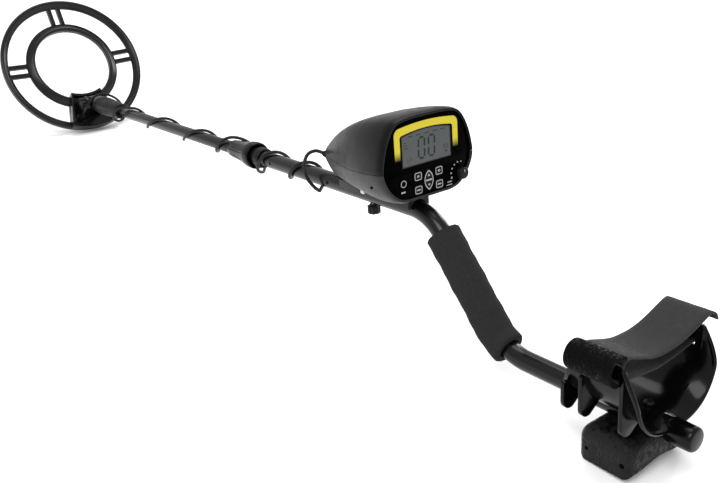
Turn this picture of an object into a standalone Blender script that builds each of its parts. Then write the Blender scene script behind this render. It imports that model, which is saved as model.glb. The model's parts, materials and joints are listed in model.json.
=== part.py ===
"""Hobby metal detector with an open double-ring coil, built in its own stem frame.

Stem frame: Y runs along the straight stem towards the coil, Z is up in the plane of symmetry, X is right.
Every length is in millimetres here and is scaled to metres when a mesh or curve is made. The whole
detector hangs from one empty, which stands it on the ground: the stand's front edge and the coil's rear edge
touch Z = 0.
"""
import math

import bmesh
import bpy
from mathutils import Euler, Matrix, Vector

MM = 0.001
GAP = 0.35                      # clearance between neighbouring pieces

# Tubes
TUBE_R = 9.5                    # upper tube, outside
TUBE_BORE_R = 8.5
STEM_R = 8.3                    # lower tube, outside
STEM_BORE_R = 7.2
TUBE_FRONT_Y = 60.0
TUBE_BEND_Y = -249.4
BEND_R = 58.0
BEND_DEG = 49.7
ARM_Z = -112.6                  # height of the arm section's axis
TUBE_REAR_Y = -557.0
STEM_REAR_Y = -60.0
STEM_FRONT_Y = 545.0

# Twist lock
COLLAR_FRONT_Y = 116.0
COLLAR_REAR_Y = 50.0
COLLAR_R = 17.0

# Control box
FACE_Y = -275.5                 # rim of the two shells
NOSE_Y = -108.0
FACE_HALF_WIDTH = 57.5
FACE_BOTTOM_Z = 16.5
FACE_TOP_Z = 99.0
FLOOR_Z = 12.0
SHELL_WALL = 2.4
PANEL_Y = -273.5                # outer face of the panel
PANEL_THICKNESS = 2.4
CLAMP_Y = -184.0

# Keys and knob on the panel, as (x, z)
KEY_CENTRES = ((-13.0, 39.3), (13.0, 39.3), (-13.0, 26.0), (13.0, 26.0))
KEY_SIZE = (10.0, 9.0)
ROCKER_CENTRE = (0.0, 33.0)
ROCKER_SIZE = (12.0, 21.5)
KNOB_CENTRE = (39.5, 31.5)
SOCKET_CENTRE = (-31.0, 36.0)

# Arm cradle and stand
CRADLE_FRONT_Y = -473.0
CRADLE_REAR_Y = -549.0
CRADLE_HALF_WIDTH = 45.0
CRADLE_CENTRE_Z = -50.0
CRADLE_DEPTH = 49.4
CRADLE_TOP_Z = -45.0
CRADLE_WALL = 3.0
FIN_YS = (-481.0, -498.0, -535.0)
STAND_FRONT_Y = -485.0
STAND_REAR_Y = -536.0
STAND_TOP_Z = -118.0
STAND_SOLE_Z = -154.0           # before the sole is cut level, 4 mm higher
STAND_HALF_WIDTH = 36.0
STAND_WALL = 5.0
CRADLE_SCREW_YS = (-496.0, -524.0)

# Search coil, in its own frame: Y forward in the coil's plane, Z square to it, centre at the origin
COIL_DEG = 62.1                 # between the stem and the coil's plane
COIL_R = 122.3
COIL_GAP_OUTER_R = 109.7
COIL_GAP_INNER_R = 79.8
COIL_HOLE_R = 64.8
COIL_DEPTH = 10.4
PIVOT_F = -86.0                 # the tilt axis, forward of the coil's centre and above it
PIVOT_N = 30.0
PIVOT_Y = 627.5                 # and in the stem frame, where it crosses the stem's axis
SPOKE_PITCH = 16.5
SPOKE_WIDTH = 8.0
SIDE_SPOKE_DEG = 88.0           # from the front

# Coil cable: where it crosses the stem, top and bottom in turn, from the coil back to the box
CABLE_R = 2.0
CABLE_CROSSINGS_Y = (453.0, 394.0, 327.0, 266.0, 203.0, 160.0, 120.0, 44.0, 11.0, -25.0, -61.0, -88.0)

COLOURS = {
    "tube": ((0.012, 0.012, 0.013), 0.35, 0.6),
    "moulding": ((0.030, 0.030, 0.032), 0.42, 0.0),
    "coil_plastic": ((0.036, 0.036, 0.038), 0.45, 0.0),
    "box_top": ((0.028, 0.028, 0.029), 0.38, 0.0),
    "box_bottom": ((0.055, 0.055, 0.057), 0.45, 0.0),
    "panel": ((0.008, 0.008, 0.009), 0.25, 0.0),
    "trim": ((0.85, 0.66, 0.03), 0.40, 0.0),
    "window": ((0.30, 0.32, 0.32), 0.10, 0.0),
    "lcd": ((0.20, 0.22, 0.20), 0.35, 0.0),
    "board": ((0.02, 0.14, 0.05), 0.50, 0.0),
    "rubber": ((0.018, 0.018, 0.018), 0.75, 0.0),
    "foam": ((0.022, 0.022, 0.023), 0.92, 0.0),
    "webbing": ((0.025, 0.025, 0.026), 0.88, 0.0),
    "steel": ((0.55, 0.55, 0.56), 0.30, 1.0),
    "copper": ((0.72, 0.32, 0.12), 0.35, 1.0),
    "battery": ((0.10, 0.10, 0.12), 0.45, 0.2),
    "cable": ((0.020, 0.020, 0.021), 0.50, 0.0),
}


# ---------------------------------------------------------------- scene helpers

def clear_scene():
    for thing in list(bpy.data.objects):
        bpy.data.objects.remove(thing, do_unlink=True)


def make_collection(name):
    group = bpy.data.collections.new(name)
    bpy.context.scene.collection.children.link(group)
    return group


def make_material(name):
    colour, roughness, metallic = COLOURS[name]
    material = bpy.data.materials.new(name)
    material.use_nodes = True
    shader = material.node_tree.nodes["Principled BSDF"]
    shader.inputs["Base Color"].default_value = (*colour, 1.0)
    shader.inputs["Roughness"].default_value = roughness
    shader.inputs["Metallic"].default_value = metallic
    material.diffuse_color = (*colour, 1.0)
    return material


clear_scene()
PARTS = make_collection("metal_detector")
CUTTERS = make_collection("cutters")
MATERIALS = {name: make_material(name) for name in COLOURS}


def make_empty(name, parent=None, location=(0, 0, 0), rotation=(0, 0, 0)):
    empty = bpy.data.objects.new(name, None)
    PARTS.objects.link(empty)
    empty.parent = parent
    empty.location = Vector(location) * MM
    empty.rotation_euler = rotation
    return empty


STEM = make_empty("stem_frame")
PIVOT = make_empty("coil_pivot", STEM, (0, PIVOT_Y, 0), (math.radians(COIL_DEG), 0, 0))
COIL = make_empty("coil_frame", PIVOT, (0, -PIVOT_F, -PIVOT_N))


def add_object(name, data, material, parent, cutter=False):
    thing = bpy.data.objects.new(name, data)
    thing.parent = parent
    if cutter:
        CUTTERS.objects.link(thing)
        thing.hide_render = True
        thing.display_type = "WIRE"
    else:
        PARTS.objects.link(thing)
        data.materials.append(MATERIALS[material])
    return thing


def smooth(thing):
    thing.data.shade_smooth()
    thing.data.set_sharp_from_angle(angle=math.radians(35))
    return thing


def combine(thing, other, operation):
    """Cut another solid from a piece, join it on, or keep what both hold."""
    modifier = thing.modifiers.new(operation.lower(), "BOOLEAN")
    modifier.operation = operation
    modifier.object = other
    modifier.solver = "EXACT"
    return thing


def bevel(thing, width, segments=2, angle=40):
    modifier = thing.modifiers.new("bevel", "BEVEL")
    modifier.width = width * MM
    modifier.segments = segments
    modifier.limit_method = "ANGLE"
    modifier.angle_limit = math.radians(angle)
    return thing


# ---------------------------------------------------------------- shapes

# Turns a local Z axis onto the stem's Y axis, or onto its X axis
ALONG_Y = Euler((-math.pi / 2, 0, 0))
ALONG_X = Euler((0, math.pi / 2, 0))
UPRIGHT = Euler((0, 0, 0))


def mesh_from(bm, name):
    mesh = bpy.data.meshes.new(name)
    bm.to_mesh(mesh)
    bm.free()
    return mesh


def box(name, low, high, material="moulding", parent=STEM, edge=0.0, cutter=False):
    bm = bmesh.new()
    bmesh.ops.create_cube(bm, size=1.0)
    size = (Vector(high) - Vector(low)) * MM
    centre = (Vector(high) + Vector(low)) / 2 * MM
    bmesh.ops.scale(bm, vec=size, verts=bm.verts)
    thing = add_object(name, mesh_from(bm, name), material, parent, cutter)
    thing.location = centre
    if edge:
        bevel(thing, edge)
    return thing


def rod(name, radius, start, end, material="steel", parent=STEM, sides=24, cutter=False):
    """A plain cylinder between two points."""
    start, end = Vector(start), Vector(end)
    axis = end - start
    bm = bmesh.new()
    bmesh.ops.create_cone(bm, cap_ends=True, segments=sides, radius1=radius * MM, radius2=radius * MM,
                          depth=axis.length * MM)
    thing = add_object(name, mesh_from(bm, name), material, parent, cutter)
    thing.location = (start + end) / 2 * MM
    thing.rotation_euler = axis.to_track_quat("Z", "Y").to_euler()
    return smooth(thing)


def turned(name, profile, material, parent=STEM, centre=(0, 0, 0), axis=ALONG_Y, steps=40, cutter=False,
           closed=None):
    """A profile of (radius, height) turned about the local Z axis; it is closed when it misses the axis."""
    if closed is None:
        closed = profile[0][0] > 0.0 and profile[-1][0] > 0.0
    area = sum(a[0] * b[1] - b[0] * a[1] for a, b in zip(profile, profile[1:] + profile[:1]))
    points = profile if area < 0 else profile[::-1]
    mesh = bpy.data.meshes.new(name)
    edges = [(i, i + 1) for i in range(len(points) - 1)]
    if closed:
        edges.append((len(points) - 1, 0))
    mesh.from_pydata([(r * MM, 0, h * MM) for r, h in points], edges, [])
    thing = add_object(name, mesh, material, parent, cutter)
    thing.location = Vector(centre) * MM
    thing.rotation_euler = axis
    screw = thing.modifiers.new("turn", "SCREW")
    screw.steps = steps
    screw.render_steps = steps
    screw.use_merge_vertices = True
    screw.merge_threshold = 0.00001
    screw.use_smooth_shade = True
    return thing


def curve_object(name, paths, radius=0.0, extrude=0.0, flat=False, cyclic=False, resolution=2):
    curve = bpy.data.curves.new(name, "CURVE")
    curve.dimensions = "2D" if flat else "3D"
    curve.fill_mode = "BOTH" if flat else "FULL"
    curve.bevel_depth = radius * MM
    curve.bevel_resolution = resolution
    curve.extrude = extrude * MM
    curve.use_fill_caps = not flat
    for path in paths:
        spline = curve.splines.new("POLY")
        spline.points.add(len(path) - 1)
        for point, place in zip(spline.points, path):
            point.co = (*(Vector(place).to_3d() * MM), 1.0)
        spline.use_cyclic_u = cyclic
    return curve


def curve_to_mesh(thing, name, material, parent, cutter):
    """The curve's evaluated shape as a welded mesh, in the same place."""
    bpy.context.view_layer.update()
    evaluated = thing.evaluated_get(bpy.context.evaluated_depsgraph_get())
    mesh = bpy.data.meshes.new_from_object(evaluated)
    bm = bmesh.new()
    bm.from_mesh(mesh)
    bmesh.ops.remove_doubles(bm, verts=bm.verts, dist=0.00001)
    bmesh.ops.recalc_face_normals(bm, faces=bm.faces)
    bm.to_mesh(mesh)
    bm.free()
    mesh.materials.clear()
    place = (thing.location.copy(), thing.rotation_euler.copy())
    bpy.data.objects.remove(thing, do_unlink=True)
    made = add_object(name, mesh, material, parent, cutter)
    made.location, made.rotation_euler = place
    return made


def flat(name, outlines, low, high, material="moulding", parent=STEM, plane="XZ", cutter=False):
    """Closed outlines (inner ones are holes) given depth from low to high along the plane's normal."""
    curve = curve_object(name, outlines, extrude=abs(high - low) / 2, flat=True, cyclic=True)
    thing = bpy.data.objects.new(name, curve)
    PARTS.objects.link(thing)
    thing.parent = parent
    middle = (low + high) / 2 * MM
    if plane == "XZ":
        thing.rotation_euler = (math.pi / 2, 0, 0)
        thing.location = (0, middle, 0)
    elif plane == "YZ":
        thing.rotation_euler = (math.pi / 2, 0, math.pi / 2)
        thing.location = (middle, 0, 0)
    else:
        thing.location = (0, 0, middle)
    return curve_to_mesh(thing, name, material, parent, cutter)


def tube_along(name, path, radius, material, parent=STEM, resolution=2, cutter=False):
    thing = bpy.data.objects.new(name, curve_object(name, [path], radius=radius, resolution=resolution))
    PARTS.objects.link(thing)
    thing.parent = parent
    return smooth(curve_to_mesh(thing, name, material, parent, cutter))


def arc(centre, radius, start_deg, end_deg, count):
    """Points on an arc, both ends included."""
    step = (end_deg - start_deg) / count
    angles = (math.radians(start_deg + step * i) for i in range(count + 1))
    return [(centre[0] + radius * math.cos(a), centre[1] + radius * math.sin(a)) for a in angles]


def rounded_rectangle(centre, size, radius, count=4):
    corners = ((1, 1, 0), (-1, 1, 90), (-1, -1, 180), (1, -1, 270))
    points = []
    for sx, sy, start in corners:
        middle = (centre[0] + sx * (size[0] / 2 - radius), centre[1] + sy * (size[1] / 2 - radius))
        points += arc(middle, radius, start, start + 90, count)
    return points


def lens(centre, size, count=10):
    """A pointed oval, from two arcs that meet at top and bottom."""
    half_w, half_h = size[0] / 2, size[1] / 2
    radius = (half_w ** 2 + half_h ** 2) / (2 * half_w)
    spread = math.degrees(math.asin(half_h / radius))
    right = arc((centre[0] + half_w - radius, centre[1]), radius, -spread, spread, count)
    left = arc((centre[0] - half_w + radius, centre[1]), radius, 180 - spread, 180 + spread, count)
    return right[:-1] + left[:-1]


def smooth_path(points, per_span):
    """A Catmull-Rom curve through the points."""
    knots = [Vector(p) for p in points]
    knots = [2 * knots[0] - knots[1]] + knots + [2 * knots[-1] - knots[-2]]
    path = []
    for a, b, c, d in zip(knots, knots[1:], knots[2:], knots[3:]):
        for i in range(per_span):
            t = i / per_span
            path.append(0.5 * (2 * b + (c - a) * t + (2 * a - 5 * b + 4 * c - d) * t ** 2
                               + (3 * b - a - 3 * c + d) * t ** 3))
    path.append(knots[-2])
    return path


# ---------------------------------------------------------------- tubes

def tube_line(overrun=0.0):
    """The upper tube's axis: straight stem, down bend, slope, level bend, arm section."""
    bend = math.radians(BEND_DEG)
    drop = BEND_R * (1 - math.cos(bend))
    slope_drop = -ARM_Z - 2 * drop
    upper = arc((TUBE_BEND_Y, -BEND_R), BEND_R, 90, 90 + BEND_DEG, 5)
    lower_y = upper[-1][0] - slope_drop / math.tan(bend)
    centre = (lower_y - BEND_R * math.sin(bend), ARM_Z + BEND_R)
    lower = arc(centre, BEND_R, BEND_DEG - 90, -90, 5)
    flat_line = [(TUBE_FRONT_Y + overrun, 0.0)] + upper + lower + [(TUBE_REAR_Y - overrun, ARM_Z)]
    return [(0.0, y, z) for y, z in flat_line]


def part_of_line(start_y, end_y):
    """The stretch of the tube's axis between two places along Y."""
    points = smooth_line = tube_line()
    ys = [p[1] for p in smooth_line]

    def at(y):
        for a, b in zip(points, points[1:]):
            if a[1] >= y >= b[1]:
                t = (a[1] - y) / (a[1] - b[1])
                return (0.0, y, a[2] + (b[2] - a[2]) * t)
        return points[-1]

    inside = [p for p, y in zip(points, ys) if start_y > y > end_y]
    return [at(start_y)] + inside + [at(end_y)]


def make_tubes():
    upper = tube_along("upper_tube", tube_line(), TUBE_R, "tube", resolution=8)
    bore = tube_along("upper_tube_bore", tube_line(5.0), TUBE_BORE_R, "tube", resolution=8, cutter=True)
    combine(upper, bore, "DIFFERENCE")
    clamp_hole = rod("clamp_hole", 3.0, (0, CLAMP_Y, -15), (0, CLAMP_Y, 15), sides=16, cutter=True)
    combine(upper, clamp_hole, "DIFFERENCE")
    for i, y in enumerate((8.0, -113.0)):
        hole = rod(f"tube_hole_{i}", 2.2, (-15, y, 0), (15, y, 0), sides=12, cutter=True)
        combine(upper, hole, "DIFFERENCE")
    for i, y in enumerate(CRADLE_SCREW_YS):
        hole = rod(f"arm_hole_{i}", 2.4, (0, y, ARM_Z - 15), (0, y, ARM_Z + 15), sides=12, cutter=True)
        combine(upper, hole, "DIFFERENCE")

    grip_line = part_of_line(-291.0, -377.0)
    grip = tube_along("foam_grip", grip_line, 17.0, "foam", resolution=4)
    grip_bore = tube_along("grip_bore", part_of_line(-270.0, -395.0), TUBE_R + GAP, "foam", resolution=8,
                           cutter=True)
    combine(grip, grip_bore, "DIFFERENCE")

    cap = [(0, -10.0), (8.4, -10.0), (9.8, -9.0), (10.4, -7.0), (10.4, 12.0), (TUBE_R + GAP, 12.0),
           (TUBE_R + GAP, -2.0), (0, -2.0)]
    turned("end_cap", cap, "rubber", centre=(0, TUBE_REAR_Y, ARM_Z), steps=28)

    stem = [(STEM_R, STEM_FRONT_Y), (STEM_R, STEM_REAR_Y), (STEM_BORE_R, STEM_REAR_Y), (STEM_BORE_R, STEM_FRONT_Y)]
    turned("lower_tube", stem, "tube", steps=28)


def make_twist_lock():
    """The bell-shaped nut, the sleeve on the tube's end that it screws on, and the split ring that it closes."""
    bell = [(STEM_R + 0.5, COLLAR_FRONT_Y), (10.6, COLLAR_FRONT_Y), (11.4, 110.0), (12.6, 78.0), (14.2, 71.0),
            (16.6, 64.0), (COLLAR_R, 59.0), (COLLAR_R, COLLAR_REAR_Y + 1.0), (16.2, COLLAR_REAR_Y),
            (14.4, COLLAR_REAR_Y), (14.2, 60.0), (12.6, 66.0), (11.2, 70.0), (10.6, 94.0), (STEM_R + 0.5, 104.0)]
    collar = turned("lock_collar", bell, "moulding", steps=28)
    flutes = 7
    for i in range(flutes):
        angle = 2 * math.pi * i / flutes
        out = Vector((math.cos(angle), 0, math.sin(angle)))
        groove = rod(f"flute_{i}", 1.6, Vector((0, 112.0, 0)) + out * 12.3, Vector((0, 76.0, 0)) + out * 13.6,
                     sides=8, cutter=True)
        combine(collar, groove, "DIFFERENCE")
    sleeve = [(TUBE_R + GAP, 34.0), (12.0, 34.0), (12.6, 36.0), (12.6, 47.0), (10.2, 52.0), (10.2, 66.0),
              (TUBE_R + GAP, 66.0)]
    turned("lock_sleeve", sleeve, "moulding", steps=28)
    ring = [(STEM_R + 0.25, 68.0), (10.4, 68.0), (10.2, 90.0), (STEM_R + 0.4, 98.0), (STEM_R + 0.25, 90.0)]
    wedge = turned("lock_ring", ring, "rubber", steps=28)
    split = box("ring_split", (-0.8, 65, 5), (0.8, 100, 15), cutter=True)
    combine(wedge, split, "DIFFERENCE")


# ---------------------------------------------------------------- control box

# Half of the box's outline from bottom to top: width and height as fractions of the greatest
BOX_OUTLINE = ((0.44, 0.0), (0.60, 0.02), (0.73, 0.07), (0.87, 0.17), (0.97, 0.30), (1.0, 0.406), (0.985, 0.50),
               (0.955, 0.60), (0.905, 0.71), (0.84, 0.81), (0.755, 0.90), (0.66, 0.955), (0.50, 0.985),
               (0.26, 0.998))
SEAM_FRACTION = 0.406


def box_section(share, inset=0.0):
    """The closed outline of the box, as (x, z); share runs from 0 at the nose to 1 at the face."""
    width = 5.3 + (FACE_HALF_WIDTH - 5.3) * (1 - (1 - share) ** 1.7) ** 1.15
    top = 37.0 + (FACE_TOP_Z - 37.0) * (1 - (1 - share) ** 1.75) ** 0.9
    nose_rise = 11.0 * (1 - min(share / 0.16, 1.0)) ** 2
    face_rise = (FACE_BOTTOM_Z - FLOOR_Z) * max(0.0, (share - 0.75) / 0.25) ** 2
    bottom = FLOOR_Z + nose_rise + face_rise
    right = [((width - inset) * x, bottom + inset + (top - bottom - 2 * inset) * z) for x, z in BOX_OUTLINE]
    left = [(-x, z) for x, z in reversed(right)]
    return right + left


def box_loft(name, material):
    """The box's skin, open at the face, given its wall inwards."""
    shares = (0.0, 0.02, 0.055, 0.11, 0.18, 0.27, 0.38, 0.5, 0.63, 0.76, 0.88, 1.0)
    bm = bmesh.new()
    rings = []
    for share in shares:
        y = NOSE_Y + (FACE_Y - NOSE_Y) * share
        rings.append([bm.verts.new(Vector((x, y, z)) * MM) for x, z in box_section(share)])
    for near, far in zip(rings, rings[1:]):
        for i in range(len(near)):
            j = (i + 1) % len(near)
            bm.faces.new((near[i], near[j], far[j], far[i]))
    bm.faces.new(rings[0][::-1])
    bmesh.ops.recalc_face_normals(bm, faces=bm.faces)
    thing = add_object(name, mesh_from(bm, name), material, STEM)
    wall = thing.modifiers.new("wall", "SOLIDIFY")
    wall.thickness = SHELL_WALL * MM
    wall.offset = -1.0
    wall.use_even_offset = True
    return smooth(thing)


def seam_cutter(name, upper):
    """A large block whose flat side lies on the seam, which climbs from the nose to the face."""
    low = box_section(0.0)
    high = box_section(1.0)
    nose_z = min(z for _, z in low) + SEAM_FRACTION * (max(z for _, z in low) - min(z for _, z in low))
    face_z = FACE_BOTTOM_Z + SEAM_FRACTION * (max(z for _, z in high) - FACE_BOTTOM_Z)
    slope = math.atan2(face_z - nose_z, NOSE_Y - FACE_Y)
    middle = Vector((0, (NOSE_Y + FACE_Y) / 2, (nose_z + face_z) / 2))
    bm = bmesh.new()
    bmesh.ops.create_cube(bm, size=1.0)
    bmesh.ops.scale(bm, vec=Vector((160, 240, 120)) * MM, verts=bm.verts)
    side = 1 if upper else -1
    bmesh.ops.translate(bm, vec=Vector((0, 0, side * (60 + GAP / 2))) * MM, verts=bm.verts)
    thing = add_object(name, mesh_from(bm, name), "moulding", STEM, cutter=True)
    thing.location = middle * MM
    thing.rotation_euler = (-slope, 0, 0)
    return thing


def make_box_shells():
    bushing_z = 29.0
    bushing_hole = rod("bushing_hole", 3.6, (0, -100, bushing_z), (0, -125, bushing_z), sides=20, cutter=True)
    stud_hole = rod("stud_hole", 3.0, (0, CLAMP_Y, 0), (0, CLAMP_Y, 30), sides=16, cutter=True)
    vent = box("side_slit", (-70, -256, 32.5), (-30, -248, 34.5), cutter=True)
    vent.rotation_euler = (math.radians(-20), 0, 0)
    upper = combine(box_loft("box_upper_shell", "box_top"), bushing_hole, "DIFFERENCE")
    combine(upper, seam_cutter("above_seam", True), "INTERSECT")
    lower = combine(box_loft("box_lower_shell", "box_bottom"), bushing_hole, "DIFFERENCE")
    combine(lower, seam_cutter("below_seam", False), "INTERSECT")
    for cutter in (stud_hole, vent):
        combine(lower, cutter, "DIFFERENCE")
    for side, x in (("left", -20.0), ("right", 20.0)):
        hole = rod(f"box_screw_hole_{side}", 1.9, (x, -195, 5), (x, -195, 20), sides=12, cutter=True)
        combine(lower, hole, "DIFFERENCE")
        screw = [(0, 7.6), (1.6, 7.6), (3.0, 9.0), (3.0, 11.6), (1.5, 11.6), (1.5, 26.0), (0, 26.0)]
        turned(f"box_screw_{side}", screw, "steel", centre=(x, -195, 0), axis=UPRIGHT, steps=12)

    grommet = [(2.35, 9.5), (3.2, 9.5), (4.6, 3.0), (5.0, 0.7), (3.25, 0.7), (3.25, -6.0), (2.35, -6.0)]
    turned("cable_bushing", grommet, "rubber", centre=(0, NOSE_Y, bushing_z), steps=20)


def make_saddle():
    """The block between box and tube, grooved to sit on the tube."""
    saddle = box("box_saddle", (-13.5, -258, 2.0), (13.5, -142, FLOOR_Z - 0.6), "box_bottom", edge=0.0)
    groove = rod("saddle_groove", TUBE_R + GAP, (0, -130, 0), (0, -270, 0), sides=32, cutter=True)
    stud = rod("saddle_stud_hole", 3.0, (0, CLAMP_Y, 0), (0, CLAMP_Y, 20), sides=16, cutter=True)
    combine(saddle, groove, "DIFFERENCE")
    combine(saddle, stud, "DIFFERENCE")
    for side, x in (("left", -20.0), ("right", 20.0)):
        relief = rod(f"saddle_relief_{side}", 7.0, (x, -195, 0), (x, -195, 15), sides=20, cutter=True)
        combine(saddle, relief, "DIFFERENCE")


def make_panel():
    outline = [(x * 0.945, 57.5 + (z - 57.5) * 0.93) for x, z in box_section(1.0)]
    window = display_outline(0.4)
    holes = [window]
    clearance = 0.4
    for centre in KEY_CENTRES:
        holes.append(rounded_rectangle(centre, (KEY_SIZE[0] + 2 * clearance, KEY_SIZE[1] + 2 * clearance), 2.4))
    holes.append(lens(ROCKER_CENTRE, (ROCKER_SIZE[0] + 1.2, ROCKER_SIZE[1] + 2.0)))
    holes.append(arc(KNOB_CENTRE, 3.4, 0, 345, 23))
    holes.append(arc(SOCKET_CENTRE, 3.3, 0, 345, 23))
    flat("face_panel", [outline] + holes, PANEL_Y, PANEL_Y + PANEL_THICKNESS, "panel")

    flat("display_window", [display_outline(0.0)], PANEL_Y - 0.2, PANEL_Y + 1.8, "window")
    flat("trim_band", [band_outline()], PANEL_Y - 0.3, PANEL_Y - 0.9, "trim")
    back = PANEL_Y + PANEL_THICKNESS + GAP
    box("lcd_module", (-33, back, 47.5), (33, back + 5.5, 86), "lcd")
    box("key_mat", (-21, back + 0.6, 18.5), (21, back + 2.4, 46.2), "rubber")
    box("main_board", (-37, back + 6.5, 28), (37, back + 8.1, 88), "board")


def display_outline(inset):
    """The display's opening: straight sides and foot, gently arched top."""
    half, foot, shoulder, rise = 30.3 + inset, 50.0 - inset, 80.0 + inset, 3.6
    radius = (half ** 2 + rise ** 2) / (2 * rise)
    spread = math.degrees(math.asin(half / radius))
    top = arc((0, shoulder + rise - radius), radius, 90 - spread, 90 + spread, 10)
    return [(-half, foot), (half, foot)] + top


def band_outline():
    """An arch of trim: over the display and down both sides."""
    outer = arch_line(38.8, 90.8, 3.4, 7.0)
    inner = arch_line(32.4, 84.2, 3.4, 3.0)
    return outer + inner[::-1]


def arch_line(half, crown, rise, corner):
    """Up the right side, round the corner, along an arched top and down the left side."""
    foot = 58.5
    radius = (half ** 2 + rise ** 2) / (2 * rise)
    spread = math.degrees(math.asin((half - corner) / radius))
    top = arc((0, crown - radius), radius, 90 - spread, 90 + spread, 10)
    shoulder = top[0][1]
    right = arc((half - corner, shoulder - corner), corner, 0, 84, 4)
    left = [(-x, z) for x, z in reversed(right)]
    return [(half, foot)] + right + top[1:-1] + left + [(-half, foot)]


def make_controls():
    """Keys, rocker and knob stand just proud of the panel."""
    for i, (x, z) in enumerate(KEY_CENTRES, 1):
        key = flat(f"key_{i}", [rounded_rectangle((x, z), KEY_SIZE, 2.2)], PANEL_Y - 0.9, PANEL_Y + 2.2, "rubber")
        key.name = f"key_{i}"
    flat("rocker_pad", [lens(ROCKER_CENTRE, ROCKER_SIZE)], PANEL_Y - 1.0, PANEL_Y + 1.6, "rubber")

    x, z = KNOB_CENTRE
    knob = [(0, -8.2), (4.6, -8.2), (5.6, -7.6), (6.0, -6.4), (6.2, -2.9), (2.8, -2.9), (2.8, 6.0), (0, 6.0)]
    turned("volume_knob", knob, "moulding", centre=(x, PANEL_Y, z), steps=24)
    pot = [(3.05, 2.8), (6.2, 2.8), (6.2, 8.4), (3.05, 8.4)]
    turned("volume_pot", pot, "steel", centre=(x, PANEL_Y, z), steps=20)
    x, z = SOCKET_CENTRE
    socket = [(0, 7.0), (1.8, 7.0), (1.8, -1.2), (4.0, -1.2), (4.0, -0.3), (2.95, -0.3), (2.95, 2.75), (5.0, 2.75),
              (5.0, 8.2), (0, 8.2)]
    turned("headphone_socket", socket, "steel", centre=(x, PANEL_Y, z), steps=20)


def make_box_contents():
    cone = [(0, 0.0), (8.0, 0.0), (8.0, 3.0), (15.0, 8.0), (15.0, 9.5), (13.6, 9.5), (7.0, 4.6), (0, 4.6)]
    turned("speaker", cone, "rubber", centre=(0, -232.0, 70.0), axis=UPRIGHT, steps=24)
    holder = box("battery_holder", (-27, -258, 20.0), (27, -207, 22.0), "moulding")
    combine(holder, box("holder_lip", (-27, -211, 20.0), (27, -207, 34.0), cutter=True), "UNION")
    for side, x in (("left", -16.0), ("right", 16.0)):
        box(f"battery_{side}", (x - 8.7, -258.0, 22.4), (x + 8.7, -211.4, 48.4), "battery", edge=1.5)
    nut = [(3.1, 15.2), (5.4, 15.2), (5.4, 19.4), (3.1, 19.4)]
    turned("clamp_nut", nut, "steel", centre=(0, CLAMP_Y, 0), axis=UPRIGHT, steps=6)


def make_thumb_screw():
    lobes, waist, tip = 6, 5.4, 6.9
    outline = []
    for i in range(lobes * 8):
        angle = 2 * math.pi * i / (lobes * 8)
        radius = waist + (tip - waist) * (0.5 + 0.5 * math.cos(lobes * angle))
        outline.append((radius * math.cos(angle), radius * math.sin(angle)))
    head = flat("thumb_screw", [outline], -20.6, -12.4, "moulding", plane="XY")
    head.location.y = CLAMP_Y * MM
    shank = rod("thumb_stud", 2.5, (0, CLAMP_Y, -13.0), (0, CLAMP_Y, 20.5), sides=14, cutter=True)
    neck = rod("thumb_neck", 4.2, (0, CLAMP_Y, -13.0), (0, CLAMP_Y, -10.6), sides=16, cutter=True)
    combine(combine(head, shank, "UNION"), neck, "UNION")


# ---------------------------------------------------------------- arm cradle, stand, strap

def cradle_line(grow, drop=0.0, steps=11):
    """The cradle's section from the left wall's top round to the right wall's top, grown outwards and down."""
    half, depth, power = CRADLE_HALF_WIDTH + grow, CRADLE_DEPTH + grow + drop, 2.0 / 2.6
    points = [(-half, CRADLE_TOP_Z)]
    for i in range(2 * steps + 1):
        angle = math.pi * i / (2 * steps)
        x = -half * math.copysign(abs(math.cos(angle)) ** power, math.cos(angle))
        points.append((x, CRADLE_CENTRE_Z - depth * abs(math.sin(angle)) ** power))
    points.append((half, CRADLE_TOP_Z))
    return points


def cradle_slopes():
    """Wedges that lean the side walls' front and rear edges back towards their top."""
    front = [(-468.2, -97.0), (-496.7, -37.0), (-460.0, -37.0), (-460.0, -97.0)]
    rear = [(-531.4, -38.0), (-552.1, -78.0), (-562.0, -78.0), (-562.0, -38.0)]
    return [flat(f"cradle_slope_{i}", [outline], -71.3, 71.3, plane="YZ", cutter=True)
            for i, outline in enumerate((front, rear))]


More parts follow.
